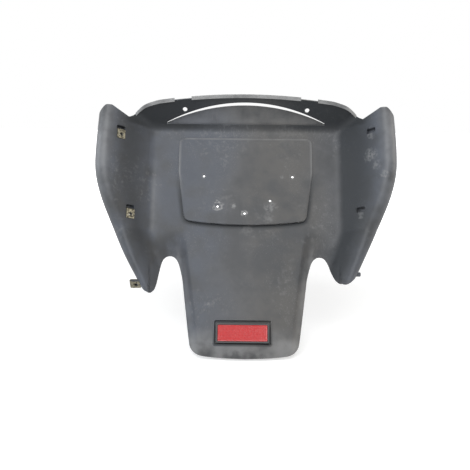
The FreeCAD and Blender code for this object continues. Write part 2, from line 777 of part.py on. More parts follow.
def plate_at(name, place, near, low, width, depth, height):
    """Block in a clip's frame: middle at its place across, from a front and a low end."""
    box = bound("Box", name, FreeCAD.Placement(), Length=width, Width=depth, Height=height)
    box.recompute()
    offset = FreeCAD.Vector(-box.Length.Value / 2, near, low)
    box.Placement = place.multiply(FreeCAD.Placement(offset, FreeCAD.Rotation()))
    return box


def lug():
    """Lug that carries the clip at the left lobe's edge."""
    length = size("lug_length") + size("lug_root")
    return plate_at("left_lug", lug_place(), 0.0, -length,
                    "Dim.lug_width", "Dim.wall", "Dim.lug_length + Dim.lug_root")


def tab():
    """Short tab at the right lobe's edge."""
    place = edge_place("right", size("right_tab_height"), size("right_tab_length"), 0.0)
    return plate_at("right_tab", place, 0.0, -size("right_tab_length") - size("lug_root"),
                    "Dim.right_tab_width", "Dim.wall", "Dim.right_tab_length + Dim.lug_root")


def clip_drill(name, place):
    """Drill for the screw hole of one clip, through the wall it straddles."""
    across = place.Rotation.multVec(FreeCAD.Vector(0, 1, 0))
    return drill(name, place.multVec(FreeCAD.Vector(0, 0, -size("clip_hole_back"))), across, "clip_lug_hole")


def clip_slot(name):
    """Slot through a wing's wall, into the cup behind it."""
    return plate_at(f"{name}_slot", WINDOW_PLACES[name], -size("wall"), 0.0,
                    "Dim.clip_width + 2 * Dim.clip_window_fit",
                    "Dim.wall + Dim.pocket_depth - Dim.pocket_wall", "Dim.clip_window_height")


def pocket_cup(name):
    """Cup behind a slot. The left ones are open below, where a clip's leaf passes."""
    below = "0" if name.startswith("left") else "Dim.pocket_wall"
    low = 0.0 if name.startswith("left") else -size("pocket_wall")
    return plate_at(f"{name}_cup", WINDOW_PLACES[name], size("wall") / 2, low,
                    "Dim.clip_width + 2 * Dim.clip_window_fit + 2 * Dim.pocket_wall",
                    "Dim.pocket_depth - Dim.wall / 2", f"Dim.clip_window_height + Dim.pocket_wall + {below}")


WINDOW_PLACES = {
    f"{side}_{level}": wing_place(sign, size(f"{level}_clip_x"), size(f"{level}_clip_z"))
    for side, sign in SIDES.items() for level in ("upper", "lower")
}
CLIP_PLACES = {
    "left_upper": WINDOW_PLACES["left_upper"],
    "left_lower": WINDOW_PLACES["left_lower"],
    "left_tip": lug_place(),
}


# Sub-parts


def lean():
    """Lean of the finished part, about the middle of the hood's bolt holes."""
    turn = FreeCAD.Rotation(FreeCAD.Vector(1, 0, 0), -size("panel_tilt"))
    middle = (hood_bolt_point(-1) + hood_bolt_point(1)) * 0.5
    return FreeCAD.Placement(-turn.multVec(middle), turn)


def main():
    """Build every sub-part, check it and write its file."""
    parts = {
        "mudguard_moulding": moulding(),
        "reflector_base": reflector_base(),
        "reflector_lens": reflector_lens(),
        "reflector_studs": reflector_studs(),
        "reflector_washers": reflector_washers(),
        "reflector_nuts": reflector_nuts(),
    }
    parts.update({f"{name}_clip_nut": clip(name, place) for name, place in CLIP_PLACES.items()})
    DOC.recompute()
    place = lean()
    for name, obj in parts.items():
        obj.Label = name
        obj.Placement = place.multiply(obj.Placement)
    for obj in DOC.Objects:
        if "Invalid" in obj.State or "Error" in obj.State:
            raise RuntimeError(f"{obj.Label} failed to build")
    os.makedirs("parts", exist_ok=True)
    for name, obj in parts.items():
        if obj.Shape.isNull() or not obj.Shape.isValid():
            raise RuntimeError(f"{name} has no valid shape")
        obj.Shape.exportStep(f"parts/{name}.step")
        print(name, len(obj.Shape.Solids), round(obj.Shape.Volume, 1))


main()
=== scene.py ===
"""Looks of the motorcycle rear mudguard: faded moulding, reflector and spring clip nuts.

Shapes are drawn in millimetres in the frame of the plate panel: x to the right,
z up the panel and depth out of it towards the rear. `to_row` leans them back
and turns them into metres in the row frame.
"""

import logging
import math
from collections.abc import Callable, Sequence
from dataclasses import dataclass
from enum import Enum

import bpy
import numpy as np
from bpy.types import ID, Material, Node, NodeTree, Object
from bpy.types import NodeSocket as Socket
from mathutils import Matrix, Vector


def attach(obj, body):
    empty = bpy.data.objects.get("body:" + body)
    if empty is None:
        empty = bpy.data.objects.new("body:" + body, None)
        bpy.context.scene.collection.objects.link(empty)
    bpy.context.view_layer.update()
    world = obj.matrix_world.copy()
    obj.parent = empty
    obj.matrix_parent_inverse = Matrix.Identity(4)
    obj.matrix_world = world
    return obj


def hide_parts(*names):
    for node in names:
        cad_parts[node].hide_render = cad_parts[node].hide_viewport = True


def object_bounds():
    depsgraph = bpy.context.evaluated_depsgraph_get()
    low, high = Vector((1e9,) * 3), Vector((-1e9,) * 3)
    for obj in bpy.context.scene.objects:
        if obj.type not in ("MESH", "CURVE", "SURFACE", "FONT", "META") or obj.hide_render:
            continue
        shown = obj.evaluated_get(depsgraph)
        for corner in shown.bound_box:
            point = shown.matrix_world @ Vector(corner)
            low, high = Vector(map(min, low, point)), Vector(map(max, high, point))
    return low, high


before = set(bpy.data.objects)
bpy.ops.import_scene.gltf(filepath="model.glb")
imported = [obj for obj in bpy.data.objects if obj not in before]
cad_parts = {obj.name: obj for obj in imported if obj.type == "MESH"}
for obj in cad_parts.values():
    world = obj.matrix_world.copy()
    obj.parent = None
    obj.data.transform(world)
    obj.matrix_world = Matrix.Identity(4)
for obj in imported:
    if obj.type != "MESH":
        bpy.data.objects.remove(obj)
CAD_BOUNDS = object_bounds()

LOG = logging.getLogger("mudguard")

Array = np.ndarray
Arrays = tuple[Array, Array, Array]
Field = Callable[[Array, Array], Array]
Place = Callable[[Array, Array], Arrays]
Point = tuple[float, float]
Triple = tuple[float, float, float]

MM_PER_M = 1000.0
TILT = math.radians(25)
BOLTS_HEIGHT = 177.0
BOLTS_DEPTH = 24.3187
WALL = 3.0

# Shares of the wall and of the bulge at the rows of a rounded edge.
EDGE_ROWS = ((0.1, 0.55), (0.28, 0.92), (0.5, 1), (0.72, 0.92), (0.9, 0.55))
# Lightness of every rounded edge: partly rubbed plastic, partly a painted highlight.
EDGE_WEAR_AND_HIGHLIGHT = 0.35
BACK_WEAR = -0.5

# Snapping to an edge: probe and longest move in cells, and the miss that is let pass in mm.
PROBE = 0.1
LONGEST_MOVE = 0.45
CLOSE = 0.02

# Reach of a closer part of a grid, in mm.
DENSE_REACH = 4.0


class Slot(Enum):
    """Material slots of the record for the moulding, the tray and the lens."""

    MOULDING = "moulding"
    TRAY = "tray"
    LENS = "lens"


class Side(Enum):
    """Left and right half, as seen from the rear."""

    LEFT = -1
    RIGHT = 1


def to_row(x: Array, z: Array, depth: Array) -> Array:
    """Lean panel points back and give them in metres.

    Args:
        x: Places across, in mm.
        z: Heights up the panel, in mm.
        depth: Distances out of the panel, in mm.

    Returns:
        Points of the row frame, one a row.
    """
    y, up = BOLTS_DEPTH - depth, z - BOLTS_HEIGHT
    c, s = math.cos(TILT), math.sin(TILT)
    return np.stack([x, y * c + up * s, up * c - y * s], axis=-1) / MM_PER_M


def ease(low: float, high: float, value: Array) -> Array:
    """Ease from 0 at low to 1 at high."""
    t = np.clip((value - low) / (high - low), 0, 1)
    return t * t * (3 - 2 * t)


def smooth_max(a: Array, b: Array, width: float) -> Array:
    """Larger of two heights, with a fillet of that width where they cross."""
    share = np.clip(0.5 + 0.5 * (a - b) / width, 0, 1)
    return b + (a - b) * share + width * share * (1 - share)


# Outlines


def arc(start: Point, middle: Point, end: Point, count: int = 24) -> list[Point]:
    """Run along the circle through three points.

    Args:
        start: First point.
        middle: Point on the way.
        end: Last point.
        count: Number of steps.

    Returns:
        Points from start to end.
    """
    (ax, ay), (bx, by), (cx, cy) = start, middle, end
    d = 2 * (ax * (by - cy) + bx * (cy - ay) + cx * (ay - by))
    squares = [px * px + py * py for px, py in (start, middle, end)]
    ox = (squares[0] * (by - cy) + squares[1] * (cy - ay) + squares[2] * (ay - by)) / d
    oy = (squares[0] * (cx - bx) + squares[1] * (ax - cx) + squares[2] * (bx - ax)) / d
    angles = [math.atan2(py - oy, px - ox) for px, py in (start, middle, end)]
    full = 2 * math.pi
    sweep, part = (angles[2] - angles[0]) % full, (angles[1] - angles[0]) % full
    if part > sweep:
        sweep -= full
    radius = math.hypot(ax - ox, ay - oy)
    turns = [angles[0] + sweep * i / count for i in range(count + 1)]
    return [(ox + radius * math.cos(a), oy + radius * math.sin(a)) for a in turns]


def curve(points: Sequence[Point], count: int = 6) -> list[Point]:
    """Smooth run through points.

    Args:
        points: Points that it passes.
        count: Steps between neighbours.

    Returns:
        Points of the run.
    """
    p = np.array([points[0], *points, points[-1]], dtype=float)
    out: list[Point] = []
    for i in range(1, len(p) - 2):
        for step in range(count):
            t = step / count
            a, b, c, d = p[i - 1], p[i], p[i + 1], p[i + 2]
            q = 0.5 * (2 * b + (c - a) * t + (2 * a - 5 * b + 4 * c - d) * t**2
                       + (3 * b - a - 3 * c + d) * t**3)
            out.append((float(q[0]), float(q[1])))
    out.append(points[-1])
    return out


def ring(x: float, z: float, across: float, up: float, count: int = 28) -> list[Point]:
    """Ellipse with the given half axes."""
    turns = [2 * math.pi * i / count for i in range(count)]
    return [(x + across * math.cos(a), z + up * math.sin(a)) for a in turns]


def rounded_box(x: float, z: float, width: float, height: float, radius: float) -> list[Point]:
    """Rectangle with rounded corners.

    Args:
        x: Its middle across.
        z: Its middle's height.
        width: Whole width.
        height: Whole height.
        radius: Radius of the corners.

    Returns:
        Its corners in order.
    """
    out: list[Point] = []
    for quarter, (sx, sz) in enumerate(((1, 1), (-1, 1), (-1, -1), (1, -1))):
        cx, cz = x + sx * (width / 2 - radius), z + sz * (height / 2 - radius)
        for step in range(7):
            a = math.radians(90 * quarter + 15 * step)
            out.append((cx + radius * math.cos(a), cz + radius * math.sin(a)))
    return out


def mirrored(points: Sequence[Point]) -> list[Point]:
    """Points on the other side of the middle, in reverse order."""
    return [(-x, z) for x, z in reversed(points)]


def flat(depth: float) -> Place:
    """Give a way to place grid values at one depth."""

    def place(x: Array, z: Array) -> Arrays:
        """Place grid values."""
        return x, z, np.full(x.shape, depth)

    return place


def inside_distance(outline: Sequence[Point], x: Array, z: Array) -> Array:
    """Distance to a closed outline.

    Args:
        outline: Corners in order.
        x: Places across.
        z: Heights.

    Returns:
        Distances, positive inside the outline.
    """
    nearest = np.full(x.shape, np.inf)
    odd = np.zeros(x.shape, dtype=bool)
    for (ax, az), (bx, bz) in zip(outline, [*outline[1:], outline[0]]):
        ex, ez = bx - ax, bz - az
        span = ex * ex + ez * ez
        if span < 1e-12:
            continue
        t = np.clip(((x - ax) * ex + (z - az) * ez) / span, 0, 1)
        nearest = np.minimum(nearest, (x - ax - t * ex) ** 2 + (z - az - t * ez) ** 2)
        if ez:
            crosses = ((az > z) != (bz > z)) & (x < ax + (z - az) * ex / ez)
            odd ^= crosses
    return np.where(odd, 1, -1) * np.sqrt(nearest)


@dataclass
class Trim:
    """Region of the front view: one outline less its openings."""

    outline: Sequence[Point]
    openings: Sequence[Sequence[Point]] = ()

    def distance(self, x: Array, z: Array) -> Array:
        """Distance to the region's edge, positive on the material.

        Args:
            x: Places across.
            z: Heights.

        Returns:
            Distances in mm.
        """
        out = inside_distance(self.outline, x, z)
        for opening in self.openings:
            out = np.minimum(out, -inside_distance(opening, x, z))
        return out


# Meshes


def link(name: str, data: ID) -> Object:
    """Make an object of the data and put it in the scene."""
    obj = bpy.data.objects.new(name, data)
    bpy.context.collection.objects.link(obj)
    return obj


class MeshData:
    """Vertices and faces that several shells are gathered into."""

    def __init__(self) -> None:
        """Start with nothing gathered."""
        self.points: list[Array] = []
        self.wear_and_painted_light: list[Array] = []
        self.faces: list[list[int]] = []
        self.count = 0

    def add(self, points: Array, faces: Sequence[Sequence[int]], wear_and_painted_light: Array | float = 0) -> None:
        """Take in one shell.

        Args:
            points: Its vertices, in metres.
            faces: Its faces, by place in the points.
            wear_and_painted_light: How rubbed the points are, and the painted light on them.
        """
        self.faces.extend([i + self.count for i in face] for face in faces)
        self.points.append(points)
        self.wear_and_painted_light.append(np.broadcast_to(wear_and_painted_light, len(points)))
        self.count += len(points)

    def build(self, name: str, sharp: float = 40) -> Object:
        """Make a smooth-shaded object of the gathered shells.

        Args:
            name: Name of the object.
            sharp: Angle in degrees above which an edge stays sharp.

        Returns:
            The linked object.
        """
        mesh = bpy.data.meshes.new(name)
        mesh.from_pydata(np.concatenate(self.points).tolist(), [], self.faces)
        # The attribute carries rubbing and painted highlights above 0, and painted shade and the less faded
        # back below 0.
        wear_and_painted_light = mesh.attributes.new("wear_and_painted_light", "FLOAT", "POINT")
        wear_and_painted_light.data.foreach_set("value", np.concatenate(self.wear_and_painted_light))
        mesh.validate()
        mesh.shade_smooth()
        mesh.set_sharp_from_angle(angle=math.radians(sharp))
        return link(name, mesh)


@dataclass
class Shell:
    """Thin wall over a trimmed grid.

    Attributes:
        across, up: Grid values.
        place: Gives x, z and depth of grid values.
        trim: Region of the front view that is kept.
        wall: Thickness behind the face.
        bulge: How far the rounded edge stands out.
        snap: Share of a cell within which grid points move onto the edge.
        thickness: Gives the wall at x and z, where it varies.
        wear_and_painted_light: Gives the rubbing and the painted light of the face at grid values.
    """

    across: Array
    up: Array
    place: Place
    trim: Trim
    wall: float = WALL
    bulge: float = 0.5
    snap: float = 0.38
    thickness: Field | None = None
    wear_and_painted_light: Field | None = None

    def reach(self, u: Array, v: Array) -> Array:
        """Distance to the trimmed edge at grid values."""
        x, z, _ = self.place(u, v)
        return self.trim.distance(x, z) - self.bulge

    def snapped(self, u: Array, v: Array, far: Array) -> Arrays:
        """Move the grid points next to the edge onto it.

        Args:
            u: Grid values across.
            v: Grid values up.
            far: Distances to the edge there.

        Returns:
            The moved values, and the distances with 0 where a point was moved.
        """
        du, dv = np.gradient(self.across)[:, None], np.gradient(self.up)[None, :]
        du, dv = np.broadcast_to(du, u.shape), np.broadcast_to(dv, v.shape)
        x, z, _ = self.place(u, v)
        cell = np.hypot(*[np.gradient(a, axis=0) for a in (x, z)])
        cell = np.minimum(np.maximum(cell, 0.3), np.hypot(*[np.gradient(a, axis=1) for a in (x, z)]))
        near = np.abs(far) < self.snap * cell
        u, v, far = u.copy(), v.copy(), far.copy()
        nu, nv, nf = u[near], v[near], far[near]
        hu, hv = du[near] * PROBE, dv[near] * PROBE
        for _ in range(3):
            gu = (self.reach(nu + hu, nv) - self.reach(nu - hu, nv)) / (2 * PROBE)
            gv = (self.reach(nu, nv + hv) - self.reach(nu, nv - hv)) / (2 * PROBE)
            scale = nf / np.maximum(gu * gu + gv * gv, 1e-6)
            nu = nu - np.clip(scale * gu, -LONGEST_MOVE, LONGEST_MOVE) * du[near]
            nv = nv - np.clip(scale * gv, -LONGEST_MOVE, LONGEST_MOVE) * dv[near]
            nf = self.reach(nu, nv)
        settled = np.abs(nf) < CLOSE
        index = np.argwhere(near)[settled]
        u[tuple(index.T)], v[tuple(index.T)] = nu[settled], nv[settled]
        far[tuple(index.T)] = 0
        return u, v, far

    def crossings(self, inner: Array, outer: Array) -> Array:
        """Find where the edge crosses the lines between points.

        Args:
            inner: Grid values of points on the material.
            outer: Grid values of points off it.

        Returns:
            Grid values on the edge.
        """
        low, high = np.zeros(len(inner)), np.ones(len(inner))
        for _ in range(12):
            t = (low + high) / 2
            values = inner + t[:, None] * (outer - inner)
            held = self.reach(values[:, 0], values[:, 1]) > 0
            low, high = np.where(held, t, low), np.where(held, high, t)
        return inner + low[:, None] * (outer - inner)

    def faces(self) -> tuple[Array, Array, list[list[int]]]:
        """Trim the grid.

        Returns:
            Values across and up of the vertices that are kept, and the faces between them.
        """
        u, v = np.meshgrid(self.across, self.up, indexing="ij")
        u, v, far = self.snapped(u, v, self.reach(u, v))
        rows, columns = u.shape
        pairs = np.stack([u.ravel(), v.ravel()], axis=-1)
        kept = far.ravel() >= 0
        positive = far.ravel() > 0
        index = np.arange(rows * columns).reshape(rows, columns)
        corners = [index[:-1, :-1], index[1:, :-1], index[1:, 1:], index[:-1, 1:]]
        quads = np.stack(corners, -1).reshape(-1, 4)
        full = kept[quads].all(1) & positive[quads].any(1)
        faces = quads[full].tolist()
        extra: dict[tuple[int, int], int] = {}
        for quad in quads[~full & positive[quads].any(1)].tolist():
            face: list[int] = []
            for a, b in zip(quad, [*quad[1:], quad[0]]):
                if kept[a]:
                    face.append(a)
                if positive[a] and not kept[b] or positive[b] and not kept[a]:
                    key = (a, b) if positive[a] else (b, a)
                    if key not in extra:
                        extra[key] = len(kept) + len(extra)
                    face.append(extra[key])
            if len(face) > 2:
                faces.append(face)
        if extra:
            ends = np.array(list(extra))
            pairs = np.concatenate([pairs, self.crossings(pairs[ends[:, 0]], pairs[ends[:, 1]])])
        used = sorted({i for face in faces for i in face})
        renumber = {old: new for new, old in enumerate(used)}
        values = pairs[used]
        return values[:, 0], values[:, 1], [[renumber[i] for i in face] for face in faces]

    def walls(self, u: Array, v: Array) -> Array:
        """Wall at grid values.

        Args:
            u: Grid values across.
            v: Grid values up.

        Returns:
            Thicknesses in mm.
        """
        if self.thickness is None:
            return np.full(u.shape, self.wall)
        x, z, _ = self.place(u, v)
        return self.thickness(x, z)

    def build(self, data: MeshData) -> None:
        """Add the face, the back and the rounded edge between them to the data.

        Args:
            data: Takes in the mesh.
        """
        u, v, faces = self.faces()
        front = to_row(*self.place(u, v)) * MM_PER_M
        normals = vertex_normals(front, faces)
        back = front - normals * self.walls(u, v)[:, None]
        count = len(front)
        edges = free_edges(faces)
        following = dict(edges)
        before = {b: a for a, b in edges}
        rim = sorted(following)
        order = {vertex: i for i, vertex in enumerate(rim)}
        along = np.array([front[following[i]] - front[before.get(i, i)] for i in rim])
        out = np.cross(along, normals[rim])
        out /= np.maximum(np.linalg.norm(out, axis=1), 1e-9)[:, None]
        rows = [rim]
        points = [front, back]
        for share, bulge in EDGE_ROWS:
            rows.append([2 * count + (len(rows) - 1) * len(rim) + i for i in range(len(rim))])
            points.append(front[rim] * (1 - share) + back[rim] * share + out * self.bulge * bulge)
        rows.append([count + i for i in rim])
        shell = [list(face) for face in faces]
        shell += [[count + i for i in reversed(face)] for face in faces]
        for near, far in zip(rows[:-1], rows[1:]):
            shell += [[near[order[b]], near[order[a]], far[order[a]], far[order[b]]] for a, b in edges]
        worn_and_painted_light = np.zeros(count) if self.wear_and_painted_light is None else self.wear_and_painted_light(u, v)
        # Every rounded edge is made at least this light, partly a painted highlight; the back is made darker
        # and less faded.
        edge = np.maximum(worn_and_painted_light[rim], EDGE_WEAR_AND_HIGHLIGHT)
        worn_and_painted_light = np.concatenate([worn_and_painted_light, np.full(count, BACK_WEAR)] + [edge] * len(EDGE_ROWS))
        data.add(np.concatenate(points) / MM_PER_M, shell, worn_and_painted_light)


def vertex_normals(points: Array, faces: Sequence[Sequence[int]]) -> Array:
    """Normals of the vertices, weighted by the faces round them.

    Args:
        points: The vertices.
        faces: The faces, by place in the points.

    Returns:
        Unit normals, one a row.
    """
    out = np.zeros_like(points)
    for size in {len(face) for face in faces}:
        index = np.array([face for face in faces if len(face) == size])
        corner = points[index]
        normal = np.zeros((len(index), 3))
        for i in range(size):
            normal += np.cross(corner[:, i], corner[:, (i + 1) % size])
        for i in range(size):
            np.add.at(out, index[:, i], normal)
    return out / np.maximum(np.linalg.norm(out, axis=1), 1e-12)[:, None]


def free_edges(faces: Sequence[Sequence[int]]) -> list[tuple[int, int]]:
    """Directed edges that have a face on one side only."""
    edges = [(a, b) for face in faces for a, b in zip(face, [*face[1:], face[0]])]
    known = set(edges)
    return [(a, b) for a, b in edges if (b, a) not in known]


def spaced(low: float, high: float, step: float, dense: Sequence[float] = (), fine: float = 0.8) -> Array:
    """Grid values that are closer together round some places.

    Args:
        low: First value.
        high: Last value.
        step: Usual step.
        dense: Places to be closer round.
        fine: Step there.

    Returns:
        Rising values.
    """
    values = list(np.linspace(low, high, max(2, round((high - low) / step) + 1)))
    for middle in dense:
        values = [value for value in values if abs(value - middle) > DENSE_REACH + 0.2]
        values += list(middle + np.arange(-DENSE_REACH, DENSE_REACH + 0.01, fine))
    return np.array(sorted(value for value in values if low <= value <= high))


# The moulding


@dataclass
class Moulding:
    """One-piece moulding: panel, wings with rolled rims, hood and tail."""

    panel_half_width: float = 134.0
    panel_top: float = 158.0
    wing_slope: float = 53.0
    hood_slope: float = 38.0
    hood_fillet: float = 9.0
    floor_radius: float = 20.0
    floor_flat: float = 127.3
    rim_radius: float = 13.0
    rim_turn: float = 122.0
    rim_return: float = 3.0
    tail_top: float = 6.0
    tail_length: float = 160.0
    tail_half_width: float = 96.0
    tail_taper: float = 21.0
    tail_step: float = 9.0
    lobe_length: float = 98.0
    lobe_shift: float = 34.0
    lobe_rim_less: float = 8.0
    lip_start: float = -149.0
    bolt_x: float = 87.0
    slots: tuple[Point, ...] = ((175, 142), (159, 30))
    slot_rise: float = 3.5
    cell: float = 2.2

    def edge(self, side: Side, z: Array) -> Array:
        """Half width of a wing, with its corners eased.

        Args:
            side: Which wing.
            z: Heights.

        Returns:
            Distances from the middle.
        """
        if side is Side.LEFT:
            heights = [-100, -77, -35, 0, 46, 81, 120, 177]
            widths = [126.5, 139.5, 164, 180.5, 200, 209, 209, 207]
        else:
            heights = [-100, -57, 0, 46, 81, 120, 177]
            widths = [131.5, 152.5, 180.5, 200, 209, 210, 208]
        shifts = np.linspace(-16, 16, 9)
        return np.mean([np.interp(z + shift, heights, widths) for shift in shifts], axis=0)

    def section(self, t: Array, z: Array) -> tuple[Array, Array]:
        """Half of the section across a wing.

        Args:
            t: 0 to 1 on the floor, then 1 more for each of bend, wall, rim and return.
            z: Heights.

        Returns:
            Distances from the middle, and depths.
        """
        rise = math.radians(90 - self.wing_slope)
        low = np.clip((self.tail_top - z) / self.lobe_length, 0, 1)
        half = self.panel_half_width - self.lobe_shift * low
        radius = self.rim_radius - self.lobe_rim_less * low
        outer = np.where(np.signbit(t), self.edge(Side.LEFT, z), self.edge(Side.RIGHT, z))
        t = np.abs(t)
        foot = half - self.floor_radius * math.tan(rise / 2)
        bend = np.clip(t - 1, 0, 1) * rise
        wall_x = foot + self.floor_radius * math.sin(rise)
        wall_d = self.floor_radius * (1 - math.cos(rise))
        rim_x = outer - radius
        crest_x = rim_x - radius * math.sin(rise)
        crest_d = (crest_x - half) * math.tan(rise)
        rim_d = crest_d - radius * math.cos(rise)
        start = math.pi / 2 + rise
        turn = start - np.clip(t - 3, 0, 1) * math.radians(self.rim_turn)
        end = start - math.radians(self.rim_turn)
        back = np.clip(t - 4, 0, 1) * self.rim_return
        x = np.select(
            [t <= 1, t <= 2, t <= 3, t <= 4],
            [t * foot, foot + self.floor_radius * np.sin(bend), wall_x + (t - 2) * (crest_x - wall_x),
             rim_x + radius * np.cos(turn)],
            rim_x + radius * math.cos(end) + back * math.sin(end))
        depth = np.select(
            [t <= 1, t <= 2, t <= 3, t <= 4],
            [0 * t, self.floor_radius * (1 - np.cos(bend)), wall_d + (t - 2) * (crest_d - wall_d),
             rim_d + radius * np.sin(turn)],
            rim_d + radius * math.sin(end) - back * math.cos(end))
        return x, depth

    def tail_edge(self, z: Array) -> Array:
        """Half width of the tail at heights."""
        share = np.clip((self.tail_top - z) / self.tail_length, 0, 1.2)
        return self.tail_half_width - self.tail_taper * share

    def place(self, t: Array, z: Array) -> Arrays:
        """Place of grid values on the moulding's face.

        Args:
            t: Values along the section, below 0 on the left.
            z: Heights.

        Returns:
            Places across, heights and depths.
        """
        half, depth = self.section(t, z)
        x = np.sign(t) * half
        hood = (z - self.panel_top) / math.tan(math.radians(self.hood_slope))
        depth = np.where(np.abs(t) <= 3, smooth_max(depth, hood, self.hood_fillet), depth)
        depth = depth + self.crown(half, z)
        edge = self.tail_edge(z)
        fall = ease(10, -34, z) * ease(edge - 13, edge, half)
        fall *= 1 - ease(104, 130, half) * ease(-80, -40, z)
        depth = depth - self.tail_step * np.where(half < 130, fall, 0)
        return x, z, depth - self.lip(z)

    def crown(self, half: Array, z: Array) -> Array:
        """Bow of the tail's face."""
        rise = 0.5 + 5.5 * np.clip((self.tail_top - z) / self.tail_length, 0, 1)
        bow = np.clip(1 - (half / self.tail_edge(z)) ** 2, 0, 1)
        return bow * rise * ease(20, -20, z)

    def lip(self, z: Array) -> Array:
        """Fall of the tail's lower end."""
        below = np.clip(self.lip_start - z, 0, None)
        return 0.75 * below * below / (below + 12)

    def face(self, half: Array, z: Array) -> Array:
        """Depth of the tail's bowed face, away from its stepped sides."""
        return self.crown(half, z) - self.lip(z)

    def arch(self) -> list[Point]:
        """Edge of the hood from notch to notch.

        Returns:
            Points from left to right.
        """
        middle = arc((-124, 184), (0, 190.2), (124, 184), 60)
        right = curve([middle[-1], (146, 178.5), (166, 165.8)])[1:]
        return mirrored(right) + middle + right

    def outline(self) -> list[Point]:
        """Outline seen square on to the panel; the wings' rims end it at the sides.

        Returns:
            Its corners in order.
        """
        corner = [(187.5, 176.8), (196, 176.6), (199, 174.6), (212, 161), (240, 153)]
        top = mirrored(corner) + self.arch() + corner
        right = [(240, -52), (156, -52.5)]
        right += curve([(154.2, -53), (151.8, -58.5), (147.6, -64.6), (140, -70.4), (132, -70.6),
                        (124.6, -65), (119.4, -54), (115.2, -40), (110.5, -32), (104.5, -29.6),
                        (98.5, -31.6), (94, -37), (90.5, -47), (87, -62)])
        tail = curve([(87, -62), (81.2, -107), (76, -146), (73.6, -156), (69, -162),
                      (62, -166), (52, -168), (30, -170), (0, -171)])
        bottom = right + tail[1:] + mirrored(tail[:-1])
        left = curve([(-87, -62), (-90.5, -47), (-94, -37), (-98.5, -31.6), (-104.5, -29.6),
                      (-110.5, -31.8), (-114.6, -38), (-117.6, -52), (-120.6, -70), (-123.6, -79.5),
                      (-129, -84.2), (-135, -82.6), (-139, -78.6)])
        return top + bottom + left[1:] + [(-240, -78)]

    def openings(self) -> list[list[Point]]:
        """Lamp window, bolt holes, clip slots, and what the pad and reflector cover.

        Returns:
            Their outlines.
        """
        window = arc((-117, 163), (0, 184), (117, 163), 70)
        out = [window, rounded_box(-2.5, -135.9, 78, 34, 2.8), PlatePad().outline(3.2)]
        for sign in (-1, 1):
            out.append(ring(sign * self.bolt_x, BOLTS_HEIGHT, 3.1, 2))
            out += [rounded_box(sign * x, z + self.slot_rise, 10.4, 7, 0.8) for x, z in self.slots]
        return out + [ring(-x, z - 6.2, 2.2, 2.8) for x, z in self.slots]

    def columns(self) -> Array:
        """Grid values across the whole section.

        Returns:
            Rising values, below 0 on the left.
        """
        floor = spaced(0, self.floor_flat, self.cell, (self.bolt_x,), 0.9) / self.floor_flat
        floor[0] = 1e-6
        bend = 1 + np.linspace(0, 1, 7)[1:]
        wall = 2 + np.linspace(0, 1, 25)[1:]
        rim = 3 + np.linspace(0, 1, 15)[1:]
        half = np.concatenate([floor, bend, wall, rim, [5]])
        return np.concatenate([-half[::-1], half[1:]])

    def build(self, data: MeshData) -> None:
        """Add the moulding's wall to the data.

        Args:
            data: Takes in the mesh.
        """
        rows = spaced(-173, 191.5, self.cell, (174, 178.5, 187), 0.5)
        trim = Trim(self.outline(), self.openings())
        Shell(self.columns(), rows, self.place, trim, bulge=0.35, wear_and_painted_light=self.wear_and_painted_light).build(data)

    def wear_and_painted_light(self, t: Array, z: Array) -> Array:
        """Painted light on the face, with some rubbing on the rims.

        Args:
            t: Values along the section, below 0 on the left.
            z: Heights.

        Returns:
            Painted highlights on the rims, the tail's bend and sides and the left bend, partly also rubbing
            on the rims; below 0, painted shade on the wings' walls, under the hood and along the pad's lower
            edge.
        """
        left, t = np.signbit(t), np.abs(t)
        half, _ = self.section(t, z)
        edge = self.tail_edge(z)
        # Painted highlights where light falls on the rims, the tail's lower bend, the tail's sides (more on
        # the right) and the left bend; the rims are partly rubbed as well.
        rim = 1.2 * ease(2.6, 3.4, t) * ease(4.2, 3.6, t) * ease(0, 125, z)
        lip = 1.7 * ease(-124, -156, z)
        side = np.where(left, 0.45, 0.9) * ease(0, -40, z)
        side *= ease(edge - 12, edge - 3, half) * (half < edge + 4)
        start = np.where(left, 1.5, 0.9)
        # Painted shade on the wings' walls and under the hood, starting further out on the left and weaker
        # on the lower left lobe.
        wall = ease(0, 1.2, t - start) * ease(3.3, 2.3, t)
        wall *= 0.85 - 0.35 * ease(10, -60, z) * left
        hood = ease(151, 160, z) * ease(2.9, 2.5, t)
        hood *= 0.6 + 0.4 * ease(20, 90, half)
        left_bend_highlight = 0.6 * left * ease(0.9, 1.1, t) * ease(1.7, 1.3, t)
        left_bend_highlight *= ease(-5, 15, z) * ease(120, 60, z)
        # Painted shadow along the pad's lower edges.
        pad_edge_shadow = 0.9 * ease(7, 1, -PlatePad().inside(half, z)) * ease(100, 45, z)
        worn_and_painted_light = np.max([rim, lip, side, left_bend_highlight], axis=0)
        return worn_and_painted_light - np.max([wall, hood, pad_edge_shadow], axis=0)


